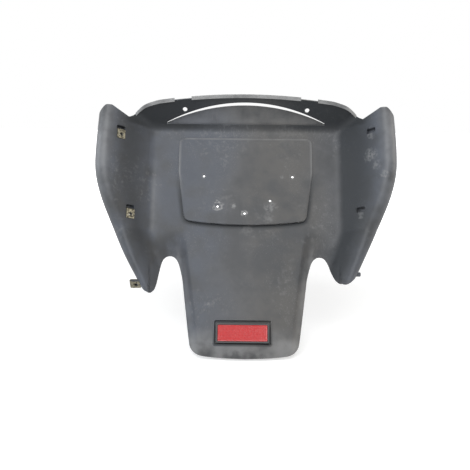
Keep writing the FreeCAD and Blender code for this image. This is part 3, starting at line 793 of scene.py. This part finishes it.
@dataclass
class PlatePad:
    """Wedge that the plate rests on, prouder towards its bottom edge."""

    top: float = 144.0
    bottom: float = 19.0
    half_width: float = 96.0
    taper_start: float = 92.0
    bottom_half_width: float = 86.0
    bow: float = 6.0
    proud_top: float = 0.8
    proud_bottom: float = 6.5
    hole: float = 3.1
    drilled: tuple[Point, ...] = ((-59, 85), (67, 85), (-39, 40), (35, 49), (-1, 30))
    cell: float = 2.2

    def depth(self, z: Array) -> Array:
        """Depth of the sloping face at heights."""
        share = (self.top - z) / (self.top - self.bottom)
        return self.proud_top + share * (self.proud_bottom - self.proud_top)

    def outline(self, inset: float) -> list[Point]:
        """Outline with rounded corners, drawn in by the inset.

        Args:
            inset: How far it is drawn in.

        Returns:
            Its corners in order.
        """
        half, low = self.half_width - inset, self.bottom_half_width - inset
        top, bottom, r = self.top - inset, self.bottom + inset, 7
        right = [(half - r, top), (half - 0.3 * r, top - 0.3 * r), (half, top - r)]
        right += [(half, self.taper_start), (low + 0.6, bottom + r), (low - 1.6, bottom + 1.8)]
        right += [(low - r, bottom - 0.6)]
        base = arc((low - r, bottom - 0.6), (0, bottom - self.bow), (r - low, bottom - 0.6), 40)
        return right + base[1:-1] + mirrored(right)

    def holes(self) -> list[list[Point]]:
        """Plate holes, seen square on."""
        return [ring(x, z, self.hole / 2, self.hole / 2) for x, z in self.drilled]

    def inside(self, x: Array, z: Array) -> Array:
        """Distance in from the pad's edge."""
        return inside_distance(self.outline(0), x, z)

    def place(self, x: Array, z: Array) -> Arrays:
        """Place of grid values on the pad's face, which rolls over at its edge."""
        roll = np.clip(1 - self.inside(x, z) / 3, 0, 1)
        return x, z, self.depth(z) - 0.5 * roll * roll

    def thickness(self, x: Array, z: Array) -> Array:
        """Wall of the pad, thick enough at its edge to reach into the panel."""
        return np.maximum(WALL, (self.depth(z) + 1.4) * ease(6, 4, self.inside(x, z)))

    def build(self, data: MeshData) -> None:
        """Add the pad's wall to the data.

        Args:
            data: Takes in the mesh.
        """
        across = spaced(-self.half_width, self.half_width, self.cell, [x for x, _ in self.drilled])
        up = spaced(12, 144.5, self.cell, [z for _, z in self.drilled])
        trim = Trim(self.outline(0), self.holes())
        Shell(across, up, self.place, trim, bulge=0.6, thickness=self.thickness, wear_and_painted_light=self.wear_and_painted_light).build(data)

    def wear_and_painted_light(self, x: Array, z: Array) -> Array:
        """Painted highlight along the pad's upper edges."""
        return 1.3 * ease(4, 1, self.inside(x, z)) * ease(45, 95, z)


@dataclass
class LampFlap:
    """Crescent flap behind the lamp window."""

    half_width: float = 121.0
    rise: float = 34.2
    end_rise: float = 5.6
    slope: float = 27.0
    foot: float = Moulding.panel_top
    below: float = 3.0

    def place(self, x: Array, v: Array) -> Arrays:
        """Place of values across and up the leaning flap."""
        lean = math.radians(self.slope)
        return x, self.foot + v * math.cos(lean), v * math.sin(lean)

    def build(self, data: MeshData) -> None:
        """Add the flap to the data.

        Args:
            data: Takes in the mesh.
        """
        lean = math.cos(math.radians(self.slope))
        ends = (-self.half_width, self.end_rise), (self.half_width, self.end_rise)
        top = [(x, self.foot + z * lean) for x, z in arc(ends[0], (0, self.rise), ends[1], 60)]
        low = self.foot - self.below
        trim = Trim([*top, (self.half_width, low), (-self.half_width, low)])
        grid = spaced(-123, 123, 3), spaced(-3.4, 35, 2)
        Shell(*grid, self.place, trim, wear_and_painted_light=self.wear_and_painted_light).build(data)

    def wear_and_painted_light(self, x: Array, v: Array) -> Array:
        """Even painted light that makes the whole flap lighter."""
        return np.full(x.shape, 0.4)


@dataclass
class ArchLips:
    """Turned-up lips along the hood's arch, with gaps at the bolt holes."""

    height: float = 2.6
    drop: float = 2.6
    wall: float = 2.2
    lean: float = 25.0
    gap_inner: float = 77.0
    gap_outer: float = 101.0
    end: float = 158.0
    # Painted highlight that makes the lips light grey.
    wear_and_painted_light: float = 2.7

    def run(self, points: Sequence[Point], data: MeshData) -> None:
        """Sweep the lip's section along the arch.

        Args:
            points: Points of the arch.
            data: Takes in the lip.
        """
        c, s = math.cos(math.radians(self.lean)), math.sin(math.radians(self.lean))
        half = self.wall / 2
        turns = np.linspace(0, math.pi, 9)
        tip = [(self.height - half + half * math.sin(a), half * math.cos(a)) for a in turns]
        up, out = np.array([(-self.drop, half), *tip, (-self.drop, -half)]).T
        hood = math.tan(math.radians(Moulding.hood_slope))
        size = len(up)
        rows = []
        for x, z in points:
            depth = (z - Moulding.panel_top) / hood + half
            rows.append(to_row(np.full(size, x), z + up * c - out * s, depth + up * s + out * c))
        last = (len(rows) - 1) * size
        faces = []
        for i in range(0, last, size):
            nexts = [(k, (k + 1) % size) for k in range(size)]
            faces += [[i + a, i + size + a, i + size + b, i + b] for a, b in nexts]
        faces += [list(range(size)), [last + k for k in reversed(range(size))]]
        data.add(np.concatenate(rows), faces, self.wear_and_painted_light)

    def build(self, data: MeshData) -> None:
        """Add the three lips to the data.

        Args:
            data: Takes in the mesh.
        """
        edge = Moulding().arch()
        middle = (-self.gap_inner, self.gap_inner)
        for low, high in ((-self.end, -self.gap_outer), middle, (self.gap_outer, self.end)):
            xs = np.linspace(low, high, max(12, round((high - low) / 3)))
            zs = np.interp(xs, [x for x, _ in edge], [z for _, z in edge])
            self.run(list(zip(xs.tolist(), zs.tolist())), data)


@dataclass
class ReflectorPlace:
    """Place and size of the reflector on the tail."""

    x: float = -2.5
    z: float = -136.5
    width: float = 72.0
    height: float = 27.0

    def grid(self, margin: float, step: float) -> tuple[Array, Array]:
        """Grid values over the reflector and a margin."""
        half, tall = self.width / 2 + margin, self.height / 2 + margin
        return spaced(self.x - half, self.x + half, step), spaced(self.z - tall, self.z + tall, step)

    def box(self, wider: float, taller: float, radius: float, lift: float = 0) -> list[Point]:
        """Rounded box that is so much wider and taller than the reflector."""
        return rounded_box(self.x, self.z + lift, self.width + wider, self.height + taller, radius)


@dataclass
class ReflectorFrame(ReflectorPlace):
    """Pocket in the tail that the reflector is seated in."""

    lift: float = 0.6
    proud: float = 0.5
    floor: float = -1.4

    def place(self, x: Array, z: Array) -> Arrays:
        """Place of grid values on the raised outline."""
        return x, z, Moulding().face(np.abs(x), z) + self.proud

    def build(self, data: MeshData) -> None:
        """Add the pocket's raised outline and its floor to the data.

        Args:
            data: Takes in the mesh.
        """
        inner = self.box(4.4, 5.6, 2, self.lift)
        outer = self.box(8.8, 10, 3.6, self.lift)
        Shell(*self.grid(8, 0.8), self.place, Trim(outer, [inner]), wall=8.6, bulge=0.3).build(data)
        Shell(*self.grid(8, 1.4), flat(self.floor), Trim(outer)).build(data)


@dataclass
class ClipSeats:
    """Lug and tab outside the lobes, and the cups behind the wings' slots."""

    lug_width: float = 11.0
    lug_length: float = 13.4
    lug_depth: float = 12.5
    lug_tilt: float = 55.0
    root: float = 4.0
    cup_outside: Triple = (8.1, 5.1, 8)
    cup_inside: Triple = (6.5, 3.5, 6.4)
    cup_start: float = 1.5

    def plate(self, side: Side, height: float, width: float, length: float, tilt: float, hole: float,
              data: MeshData) -> None:
        """Add one plate outside a lobe's edge.

        Args:
            side: Which lobe.
            height: Height of the plate's middle.
            width: Width of the plate.
            length: How far it stands out of the edge.
            tilt: How far it is tilted down, in degrees.
            hole: Radius of its screw hole, or 0.
            data: Takes in the plate.
        """
        edge = float(Moulding().edge(side, np.array([height]))[0])
        end, root = edge + length, edge - self.root
        squash = math.cos(math.radians(tilt))
        middle = side.value * (end + root) / 2
        outline = rounded_box(middle, height, end - root, width * squash, 1.4 * squash)
        holes = [ring(side.value * (end - 6.2), height, hole, hole * squash)] if hole else []

        def place(x: Array, v: Array) -> Arrays:
            """Place values across and up the plate."""
            return x, height + v * squash, self.lug_depth + v * math.sin(math.radians(tilt))

        low, high = sorted((side.value * root, side.value * end))
        half = width / 2 + 1
        grid = spaced(low - 1, high + 1, 0.9), spaced(-half, half, 0.9)
        Shell(*grid, place, Trim(outline, holes), bulge=0.3).build(data)

    def cup(self, side: Side, x: float, z: float, data: MeshData) -> None:
        """Add the cup behind one slot.

        Args:
            side: Which wing.
            x: The slot's distance from the middle.
            z: Height of the slot's lower edge.
            data: Takes in the cup.
        """
        moulding = Moulding()
        slope = math.radians(moulding.wing_slope)
        along = np.array([side.value * math.sin(slope), 0, math.cos(slope)])
        back = np.array([side.value * math.cos(slope), 0, -math.sin(slope)])
        up = np.array([0, 1, 0])
        depth = (x - moulding.panel_half_width) / math.tan(slope)
        middle = np.array([side.value * x, z + moulding.slot_rise, depth])

        def corners(half: float, tall: float, far: float) -> list[Array]:
            """Corners of a box that goes back from the wing."""
            signs = ((-1, -1), (1, -1), (1, 1), (-1, 1))
            return [middle + along * half * a + up * tall * b + back * d
                    for d in (self.cup_start, far) for a, b in signs]

        points = np.array(corners(*self.cup_outside) + corners(*self.cup_inside))
        sides = [[k, (k + 1) % 4, 4 + (k + 1) % 4, 4 + k] for k in range(4)]
        faces = [face[::-1] for face in sides] + [[4, 5, 6, 7]]
        faces += [[8 + i for i in face] for face in sides] + [[15, 14, 13, 12]]
        faces += [[k, 8 + k, 8 + (k + 1) % 4, (k + 1) % 4][::-1] for k in range(4)]
        if side is Side.LEFT:
            faces = [face[::-1] for face in faces]
        data.add(to_row(points[:, 0], points[:, 1], points[:, 2]), faces)

    def build(self, data: MeshData) -> None:
        """Add the lug, the tab and the cups to the data.

        Args:
            data: Takes in the mesh.
        """
        self.plate(Side.LEFT, -73, self.lug_width, self.lug_length, self.lug_tilt, 2.8, data)
        self.plate(Side.RIGHT, -56, 6, 5, 0, 0, data)
        for side in Side:
            for x, z in Moulding().slots:
                self.cup(side, x, z, data)


def make_moulding() -> Object:
    """Build the moulding with all that is moulded on it as one object.

    Returns:
        The linked object.
    """
    data = MeshData()
    for piece in (Moulding(), PlatePad(), LampFlap(), ArchLips(), ReflectorFrame(), ClipSeats()):
        piece.build(data)
        LOG.info("%s: %d faces so far", type(piece).__name__, len(data.faces))
    return data.build("moulding_skin")


# Reflector


@dataclass
class Reflector(ReflectorPlace):
    """Black tray with a red prism lens."""

    rim: float = 2.6
    front: float = 4.6
    lens_proud: float = 0.6
    lens_border: float = 0.9
    prism: float = 2.0
    prism_depth: float = 0.55

    def tray(self) -> Object:
        """Build the tray's frame and floor.

        Returns:
            The linked object.
        """
        data = MeshData()
        grid = self.grid(1, 1)
        outer, inner = self.box(0, 0, 1.6), self.box(-2 * self.rim, -2 * self.rim, 0.8)
        Shell(*grid, flat(self.front), Trim(outer, [inner]), wall=2.6, bulge=0.35).build(data)
        Shell(*grid, flat(self.front - 2.5), Trim(outer), wall=3.4, bulge=0.3).build(data)
        return data.build("reflector_tray_skin")

    def lens(self) -> Object:
        """Build the lens, whose face carries rows of low pyramids under a flat border.

        Returns:
            The linked object.
        """
        width, height = self.width - 2 * self.rim - 0.2, self.height - 2 * self.rim - 0.2
        border = self.lens_border
        front = self.front + self.lens_proud
        outline = rounded_box(self.x, self.z, width, height, 0.8)

        def place(x: Array, z: Array) -> Arrays:
            """Place grid values on the prisms."""
            across, up = (x - self.x) / self.prism, (z - self.z) / self.prism
            ridge = np.abs(across - np.round(across)) + np.abs(up - np.round(up))
            near = inside_distance(outline, x, z)
            return x, z, front - self.prism_depth * ridge * ease(border - 0.4, border + 0.2, near)

        data = MeshData()
        half, tall = width / 2 + 0.5, height / 2 + 0.5
        step = self.prism / 4
        across = self.x + step * np.arange(-math.ceil(half / step), math.ceil(half / step) + 1)
        up = self.z + step * np.arange(-math.ceil(tall / step), math.ceil(tall / step) + 1)
        Shell(across, up, place, Trim(outline), wall=2.4, bulge=0.25).build(data)
        return data.build("reflector_lens_skin", 15)


# Finishes


class Nodes:
    """Short ways to add nodes to a tree."""

    def __init__(self, tree: NodeTree) -> None:
        """Keep the tree that nodes are added to."""
        self.tree = tree

    def set(self, socket: Socket, value: object) -> None:
        """Link or set one input.

        Args:
            socket: The input.
            value: A socket to link, or a value.
        """
        if isinstance(value, Socket):
            self.tree.links.new(value, socket)
        elif isinstance(value, tuple) and len(value) == 3 and socket.type == "RGBA":
            socket.default_value = (*value, 1)
        else:
            socket.default_value = value

    def node(self, kind: str, inputs: dict[str | int, object], **settings: object) -> Node:
        """Add a node.

        Args:
            kind: Its type, without the words that all shader nodes share.
            inputs: Values or sockets, by name or place of the input.
            settings: Properties of the node, set before its inputs.

        Returns:
            The node.
        """
        node = self.tree.nodes.new("ShaderNode" + kind)
        for name, value in settings.items():
            setattr(node, name, value)
        for name, value in inputs.items():
            self.set(node.inputs[name], value)
        return node

    def math(self, kind: str, a: object, b: object = 0, clamp: bool = False) -> Socket:
        """Add a math node."""
        return self.node("Math", {0: a, 1: b}, operation=kind, use_clamp=clamp).outputs[0]

    def seen(self) -> Socket:
        """Give 1 for rays that show the background, straight or in a reflection.

        Returns:
            The value.
        """
        rays = self.node("LightPath", {}).outputs
        out = rays["Is Camera Ray"]
        for name in ("Is Glossy Ray", "Is Transmission Ray"):
            out = self.math("ADD", out, rays[name], True)
        return out


class Graph(Nodes):
    """Nodes of a new material."""

    def __init__(self, name: str) -> None:
        """Make the material.

        Args:
            name: Its name.
        """
        self.material = bpy.data.materials.new(name)
        self.material.use_nodes = True
        super().__init__(self.material.node_tree)
        self.shader = self.tree.nodes["Principled BSDF"]
        self.place = self.node("TexCoord", {}).outputs["Object"]

    def noise(self, scale: float, detail: float = 3, stretch: Triple = (1, 1, 1),
              turn: float = 0.0) -> Socket:
        """Add noise over the object's own coordinates.

        Args:
            scale: Scale of the noise.
            detail: Number of finer layers.
            stretch: Scales of the axes.
            turn: Turn about the y axis.

        Returns:
            The noise.
        """
        turned = {"Vector": self.place, "Scale": stretch, "Rotation": (0, turn, 0)}
        vector = self.node("Mapping", turned).outputs[0]
        return self.node("TexNoise", {"Vector": vector, "Scale": scale, "Detail": detail}).outputs["Fac"]

    def ease(self, value: object, low: float, high: float) -> Socket:
        """Ease a value from 0 at low to 1 at high."""
        inputs = {"Value": value, "From Min": low, "From Max": high}
        return self.node("MapRange", inputs, interpolation_type="SMOOTHSTEP").outputs["Result"]

    def mix(self, share: object, a: object, b: object) -> Socket:
        """Mix two colours."""
        return self.node("Mix", {"Factor": share, "A": a, "B": b}, data_type="RGBA").outputs["Result"]

    def spot(self, point: Triple, radius: float, soft: float, ragged: object) -> Socket:
        """Mask of 1 round a point.

        Args:
            point: Point of the row frame, in metres.
            radius: Radius of the mask.
            soft: Half width of its edge.
            ragged: Value that moves the edge, as a share of the radius.

        Returns:
            The mask.
        """
        node = self.node("VectorMath", {0: self.place, 1: point}, operation="DISTANCE")
        away = self.math("ADD", node.outputs["Value"], self.math("MULTIPLY", ragged, radius))
        return self.ease(away, radius + soft, radius - soft)

    def across(self) -> Socket:
        """Give the place across, in metres."""
        return self.node("SeparateXYZ", {0: self.place}).outputs["X"]

    def attribute(self, name: str) -> Socket:
        """Read a number that is kept on the mesh."""
        return self.node("Attribute", {}, attribute_name=name).outputs["Fac"]

    def bump(self, height: object, strength: float, distance: float) -> None:
        """Give the shader a bump."""
        inputs = {"Height": height, "Strength": strength, "Distance": distance}
        self.set(self.shader.inputs["Normal"], self.node("Bump", inputs).outputs["Normal"])

    def finish(self, colour: object, rough: object, **more: object) -> Material:
        """Set the shader's inputs and give the material.

        Args:
            colour: Base colour.
            rough: Roughness.
            more: Other inputs, with underscores for the spaces in their names.

        Returns:
            The material.
        """
        inputs = {"Base_Color": colour, "Roughness": rough, **more}
        for name, value in inputs.items():
            self.set(self.shader.inputs[name.replace("_", " ")], value)
        return self.material


@dataclass(frozen=True)
class Mark:
    """Scuff, stain or painted highlight on the moulding, in panel mm; one with an inner radius is a ring."""

    x: float
    z: float
    radius: float
    soft: float
    strength: float
    depth: float = 4.0
    inner: float = 0.0


@dataclass(frozen=True)
class FadedPlastic:
    """Black plastic gone grey: mottled, grained, scratched and marked, with painted cool and warm light,
    painted highlights and painted shade.
    """

    black: Triple = (0.018, 0.0205, 0.0235)
    dark: Triple = (0.052, 0.054, 0.057)
    # Faded grey as under the cool and the warm lamp: painted light colour.
    cool_lit_grey: Triple = (0.085, 0.093, 0.110)
    warm_lit_grey: Triple = (0.099, 0.096, 0.092)
    # Chalk grey, used for rubbed and chalky spots and for the painted highlights.
    chalk_and_highlight_grey: Triple = (0.27, 0.27, 0.27)
    rough: float = 0.46
    gloss: float = 0.3
    scuffs_and_highlights: tuple[Mark, ...] = (
        Mark(-39, 41, 7.4, 1.2, 0.9, inner=3.4), Mark(-1, 30, 5, 1, 0.9, inner=2),
        Mark(67, 85, 4, 0.8, 0.4, inner=2), Mark(52, 85, 2.4, 1.2, 0.4),
        Mark(-16, 41, 3.4, 1.4, 0.7), Mark(-59, 85, 3.6, 1, 0.2),
        Mark(36, 39, 8, 4, 0.5), Mark(33, 24, 7, 4, 0.35),
        Mark(2, 8, 7, 3.5, 0.2, 1), Mark(175, 109, 8, 5, 0.45, 31),
        Mark(181, 94, 6, 4, 0.35, 35), Mark(190, 78, 6, 3, 0.45, 42),
        # The marks just below the two right slots, at 175, 138 and 159, 26, are painted highlights on the
        # slots' lower edges; the rest are scuffs.
        Mark(60, 148, 16, 12, 0.12, 1), Mark(175, 138, 5, 1.5, 0.3, 31),
        Mark(159, 26, 5, 1.5, 0.3, 19),
    )
    stains: tuple[Mark, ...] = (
        Mark(-24, -167, 5, 4, 0.3, -5), Mark(-12, -169, 8, 5, 0.5, -6),
        Mark(1, -168, 6, 5, 0.4, -6), Mark(11, -169, 8, 5, 0.5, -6),
        Mark(23, -167, 5, 4, 0.4, -5),
    )

    def build(self) -> Material:
        """Make the material.

        Returns:
            The new material.
        """
        g = Graph("faded_plastic")
        broad, mottle, flecks = g.noise(6, 4), g.noise(38, 6), g.noise(160, 8)
        # Painted light: cooler grey away from 55 mm right of the middle, warmer near it.
        right = g.math("ABSOLUTE", g.math("SUBTRACT", g.across(), 0.055))
        cool_to_warm_light = g.math("ADD", right, g.math("MULTIPLY", g.math("SUBTRACT", g.noise(9, 3), 0.5), 0.12))
        faded_lit_grey = g.mix(g.ease(cool_to_warm_light, 0.13, 0.02), self.cool_lit_grey, self.warm_lit_grey)
        fade = g.math("ADD", g.math("MULTIPLY", broad, 0.55), g.math("MULTIPLY", mottle, 0.45))
        colour = g.mix(g.ease(fade, 0.36, 0.6), self.dark, faded_lit_grey)
        worn_and_painted_light = g.math("MULTIPLY", g.ease(flecks, 0.5, 0.8), g.ease(g.noise(13, 3), 0.45, 0.66))
        lines = g.math("MAXIMUM", self.scratches(g, 0.5), self.scratches(g, -0.9))
        # Below 0 the mesh's attribute darkens the colour towards black: painted shade on the wings' walls,
        # under the hood and along the pad, and the less faded back.
        wear_and_painted_light = g.attribute("wear_and_painted_light")
        painted_shade_and_unfaded = g.math("MULTIPLY", wear_and_painted_light, -1, True)
        colour = g.mix(painted_shade_and_unfaded, colour, self.black)
        chalk_and_highlight_share = g.math("ADD", g.math("MULTIPLY", worn_and_painted_light, 0.3), g.math("MULTIPLY", lines, 0.2), True)
        chalk_and_highlight_share = g.math("MULTIPLY", chalk_and_highlight_share, g.math("SUBTRACT", 1.2, painted_shade_and_unfaded))
        # Above 0 the attribute lightens the colour towards chalk grey: rubbed edges and painted highlights.
        edges = g.math("MULTIPLY", g.math("MAXIMUM", wear_and_painted_light, 0), g.ease(mottle, 0.1, 0.7))
        chalk_and_highlight_share = g.math("MAXIMUM", chalk_and_highlight_share, g.math("MULTIPLY", edges, 0.45))
        ragged = g.math("SUBTRACT", g.math("MULTIPLY", flecks, 2.4), 1.2)
        patchy = g.ease(g.noise(260, 8), 0.3, 0.62)
        chalk_and_highlight_share = g.math("MAXIMUM", chalk_and_highlight_share, g.math("MULTIPLY", self.spots(g, self.scuffs_and_highlights, ragged), patchy))
        colour = g.mix(chalk_and_highlight_share, colour, self.chalk_and_highlight_grey)
        colour = g.mix(self.spots(g, self.stains, ragged), colour, self.black)
        grain = g.noise(900, 4)
        g.bump(g.math("ADD", g.math("MULTIPLY", grain, 0.7), g.math("MULTIPLY", mottle, 0.5)), 0.35, 0.0006)
        rough = g.math("ADD", g.math("MULTIPLY", g.math("SUBTRACT", mottle, 0.5), 0.3), self.rough)
        rough = g.math("SUBTRACT", rough, g.math("MULTIPLY", edges, 0.1))
        return g.finish(colour, rough, Specular_IOR_Level=self.gloss)

    def spots(self, g: Graph, marks: Sequence[Mark], ragged: Socket) -> Socket:
        """Mask of several marks.

        Args:
            g: Graph of the material.
            marks: The marks.
            ragged: Value that moves their edges.

        Returns:
            The mask.
        """
        out: object = 0
        for mark in marks:
            point = tuple(to_row(*np.array([[mark.x], [mark.z], [mark.depth]]))[0].tolist())
            soft = mark.soft / MM_PER_M
            mask = g.spot(point, mark.radius / MM_PER_M, soft, ragged)
            if mark.inner:
                clear = g.spot(point, mark.inner / MM_PER_M, soft / 2, ragged)
                mask = g.math("SUBTRACT", mask, clear, True)
            out = g.math("MAXIMUM", out, g.math("MULTIPLY", mask, mark.strength))
        return out

    def scratches(self, g: Graph, turn: float) -> Socket:
        """Fine scratches in one direction, in patches."""
        fine = g.noise(60, 1, (16, 16, 0.3), turn)
        patches = g.ease(g.noise(16 + 5 * turn, 2), 0.5, 0.62)
        return g.math("MULTIPLY", g.ease(fine, 0.62, 0.72), patches)


@dataclass(frozen=True)
class Spotted:
    """Finish of one colour with dust or stains in spots, whose edge is a range of the noise."""

    name: str
    clean: Triple
    spots: Triple
    scale: float
    edge: Point
    cover: float
    rough: float
    rougher: float
    grain: float = 0.0
    metal: float = 0.0
    coat: float = 0.0

    def build(self) -> Material:
        """Make the material.

        Returns:
            The new material.
        """
        g = Graph(self.name)
        mask = g.math("MULTIPLY", g.ease(g.noise(self.scale, 6), *self.edge), self.cover)
        if self.grain:
            g.bump(g.noise(self.grain, 3), 0.15, 0.0004)
        rough = g.math("ADD", g.math("MULTIPLY", mask, self.rougher), self.rough)
        colour = g.mix(mask, self.clean, self.spots)
        return g.finish(colour, rough, Metallic=self.metal, Coat_Weight=self.coat, Coat_Roughness=0.12)


RED_LENS = Spotted("red_lens", (0.52, 0.014, 0.017), (0.55, 0.075, 0.07), 90, (0.45, 0.75), 0.3, 0.16, 0.5,
                   coat=0.3)
TRAY_PLASTIC = Spotted("tray_plastic", (0.014, 0.014, 0.015), (0.05, 0.05, 0.05), 200, (0.5, 0.8), 0.6, 0.4,
                       0.3, 1200)
CLIP_STEEL = Spotted("clip_steel", (0.23, 0.215, 0.165), (0.08, 0.072, 0.055), 420, (0.42, 0.66), 1, 0.42,
                     0.25, 1500, 1)
ZINC = Spotted("zinc", (0.58, 0.59, 0.60), (0.36, 0.35, 0.33), 420, (0.42, 0.66), 1, 0.32, 0.25, 1500, 1)


# Studio


@dataclass(frozen=True)
class Lamp:
    """Square area light that is aimed at the part."""

    name: str
    place: Triple
    size: float
    power: float
    colour: Triple
    aim: Triple = (0, -0.03, -0.12)

    def build(self) -> None:
        """Add the light."""
        data = bpy.data.lights.new(self.name, "AREA")
        data.size, data.energy, data.color = self.size, self.power, self.colour
        obj = link(self.name, data)
        obj.location = self.place
        turn = (Vector(self.aim) - obj.location).to_track_quat("-Z", "Y")
        obj.rotation_euler = turn.to_euler()


@dataclass
class Studio:
    """White floor and surroundings, with the lamps and the camera of the main view."""

    floor_z: float
    floor_reach: float = 6.0
    floor_white: Triple = (0.9, 0.9, 0.9)
    glow: float = 0.3
    clear: float = 0.8
    fill: float = 0.3
    eye: Triple = (-0.0140, -0.9370, 0.01725)
    pitch: float = 78.0
    roll: float = 0.6
    angle: float = 40.0
    lamps: tuple[Lamp, ...] = (
        Lamp("above", (-0.3, -1.75, 1.2), 1.6, 34, (0.97, 0.985, 1)),
        Lamp("window", (-1.9, -0.3, 0.5), 1, 11, (0.84, 0.92, 1)),
        Lamp("lamp", (1.9, -0.3, 0.5), 1, 9, (1, 0.92, 0.8)),
        Lamp("behind", (0.2, 1.7, 1.2), 1.4, 16, (1, 1, 1)),
    )

    def camera(self) -> None:
        """Add the camera of the main view."""
        data = bpy.data.cameras.new("camera")
        data.angle = math.radians(self.angle)
        obj = link("camera", data)
        obj.location = self.eye
        pitch = Matrix.Rotation(math.radians(self.pitch), 4, "X")
        roll = Matrix.Rotation(math.radians(self.roll), 4, "Z")
        obj.rotation_euler = (pitch @ roll).to_euler()
        bpy.context.scene.camera = obj

    def floor(self) -> None:
        """Add the floor, which keeps the part's shadow and glows white far off."""
        mesh = bpy.data.meshes.new("floor")
        far, z = self.floor_reach, self.floor_z
        corners = [(-far, -far, z), (far, -far, z), (far, far, z), (-far, far, z)]
        mesh.from_pydata(corners, [], [(0, 1, 2, 3)])
        g = Graph("floor")
        close = g.spot((0, 0, z), self.clear, self.clear / 2, 0)
        glow = g.math("ADD", self.glow, g.math("SUBTRACT", 1, close))
        glow = g.math("MULTIPLY", g.seen(), glow)
        white = (1, 1, 1)
        mesh.materials.append(g.finish(self.floor_white, 0.95, Emission_Color=white, Emission_Strength=glow))
        obj = link("floor", mesh)

    def surroundings(self) -> None:
        """Make the world white to look at, and dimmer as a light."""
        world = bpy.data.worlds.new("world")
        bpy.context.scene.world = world
        world.use_nodes = True
        nodes = Nodes(world.node_tree)
        strength = nodes.math("ADD", nodes.math("MULTIPLY", nodes.seen(), 1 - self.fill), self.fill)
        background = world.node_tree.nodes["Background"]
        nodes.set(background.inputs["Strength"], strength)
        nodes.set(background.inputs["Color"], (1, 1, 1))

    def build(self) -> None:
        """Add floor, surroundings, lamps and camera."""
        self.floor()
        self.surroundings()
        for lamp in self.lamps:
            lamp.build()
        self.camera()


# Scene


def dress(obj: Object, node: str, material: Material) -> None:
    """Let a new piece stand for a CAD node.

    Args:
        obj: The piece.
        node: Name of the node that it replaces.
        material: Its finish.
    """
    obj.data.materials.append(material)
    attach(obj, "root")
    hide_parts(node)
    LOG.info("%s stands for %s", obj.name, node)


def paint(node: str, material: Material) -> None:
    """Give a CAD node a material.

    Args:
        node: Name of the node.
        material: Its finish.
    """
    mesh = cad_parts[node].data
    if not mesh.materials:
        mesh.materials.append(material)
    for i in range(len(mesh.materials)):
        mesh.materials[i] = material
    LOG.info("%s is painted with %s", node, material.name)


def main() -> None:
    """Build the looks round the CAD frame."""
    logging.basicConfig(level=logging.INFO)
    reflector = Reflector()
    dress(make_moulding(), "mudguard_moulding", FadedPlastic().build())
    dress(reflector.tray(), "reflector_base", TRAY_PLASTIC.build())
    dress(reflector.lens(), "reflector_lens", RED_LENS.build())
    clip_steel, zinc = CLIP_STEEL.build(), ZINC.build()
    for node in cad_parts:
        if node.endswith("clip_nut"):
            paint(node, clip_steel)
        elif node in ("reflector_studs", "reflector_washers", "reflector_nuts"):
            paint(node, zinc)
    bpy.context.scene.view_settings.view_transform = "Standard"
    Studio(CAD_BOUNDS[0][2]).build()


if __name__ == "__main__":
    main()
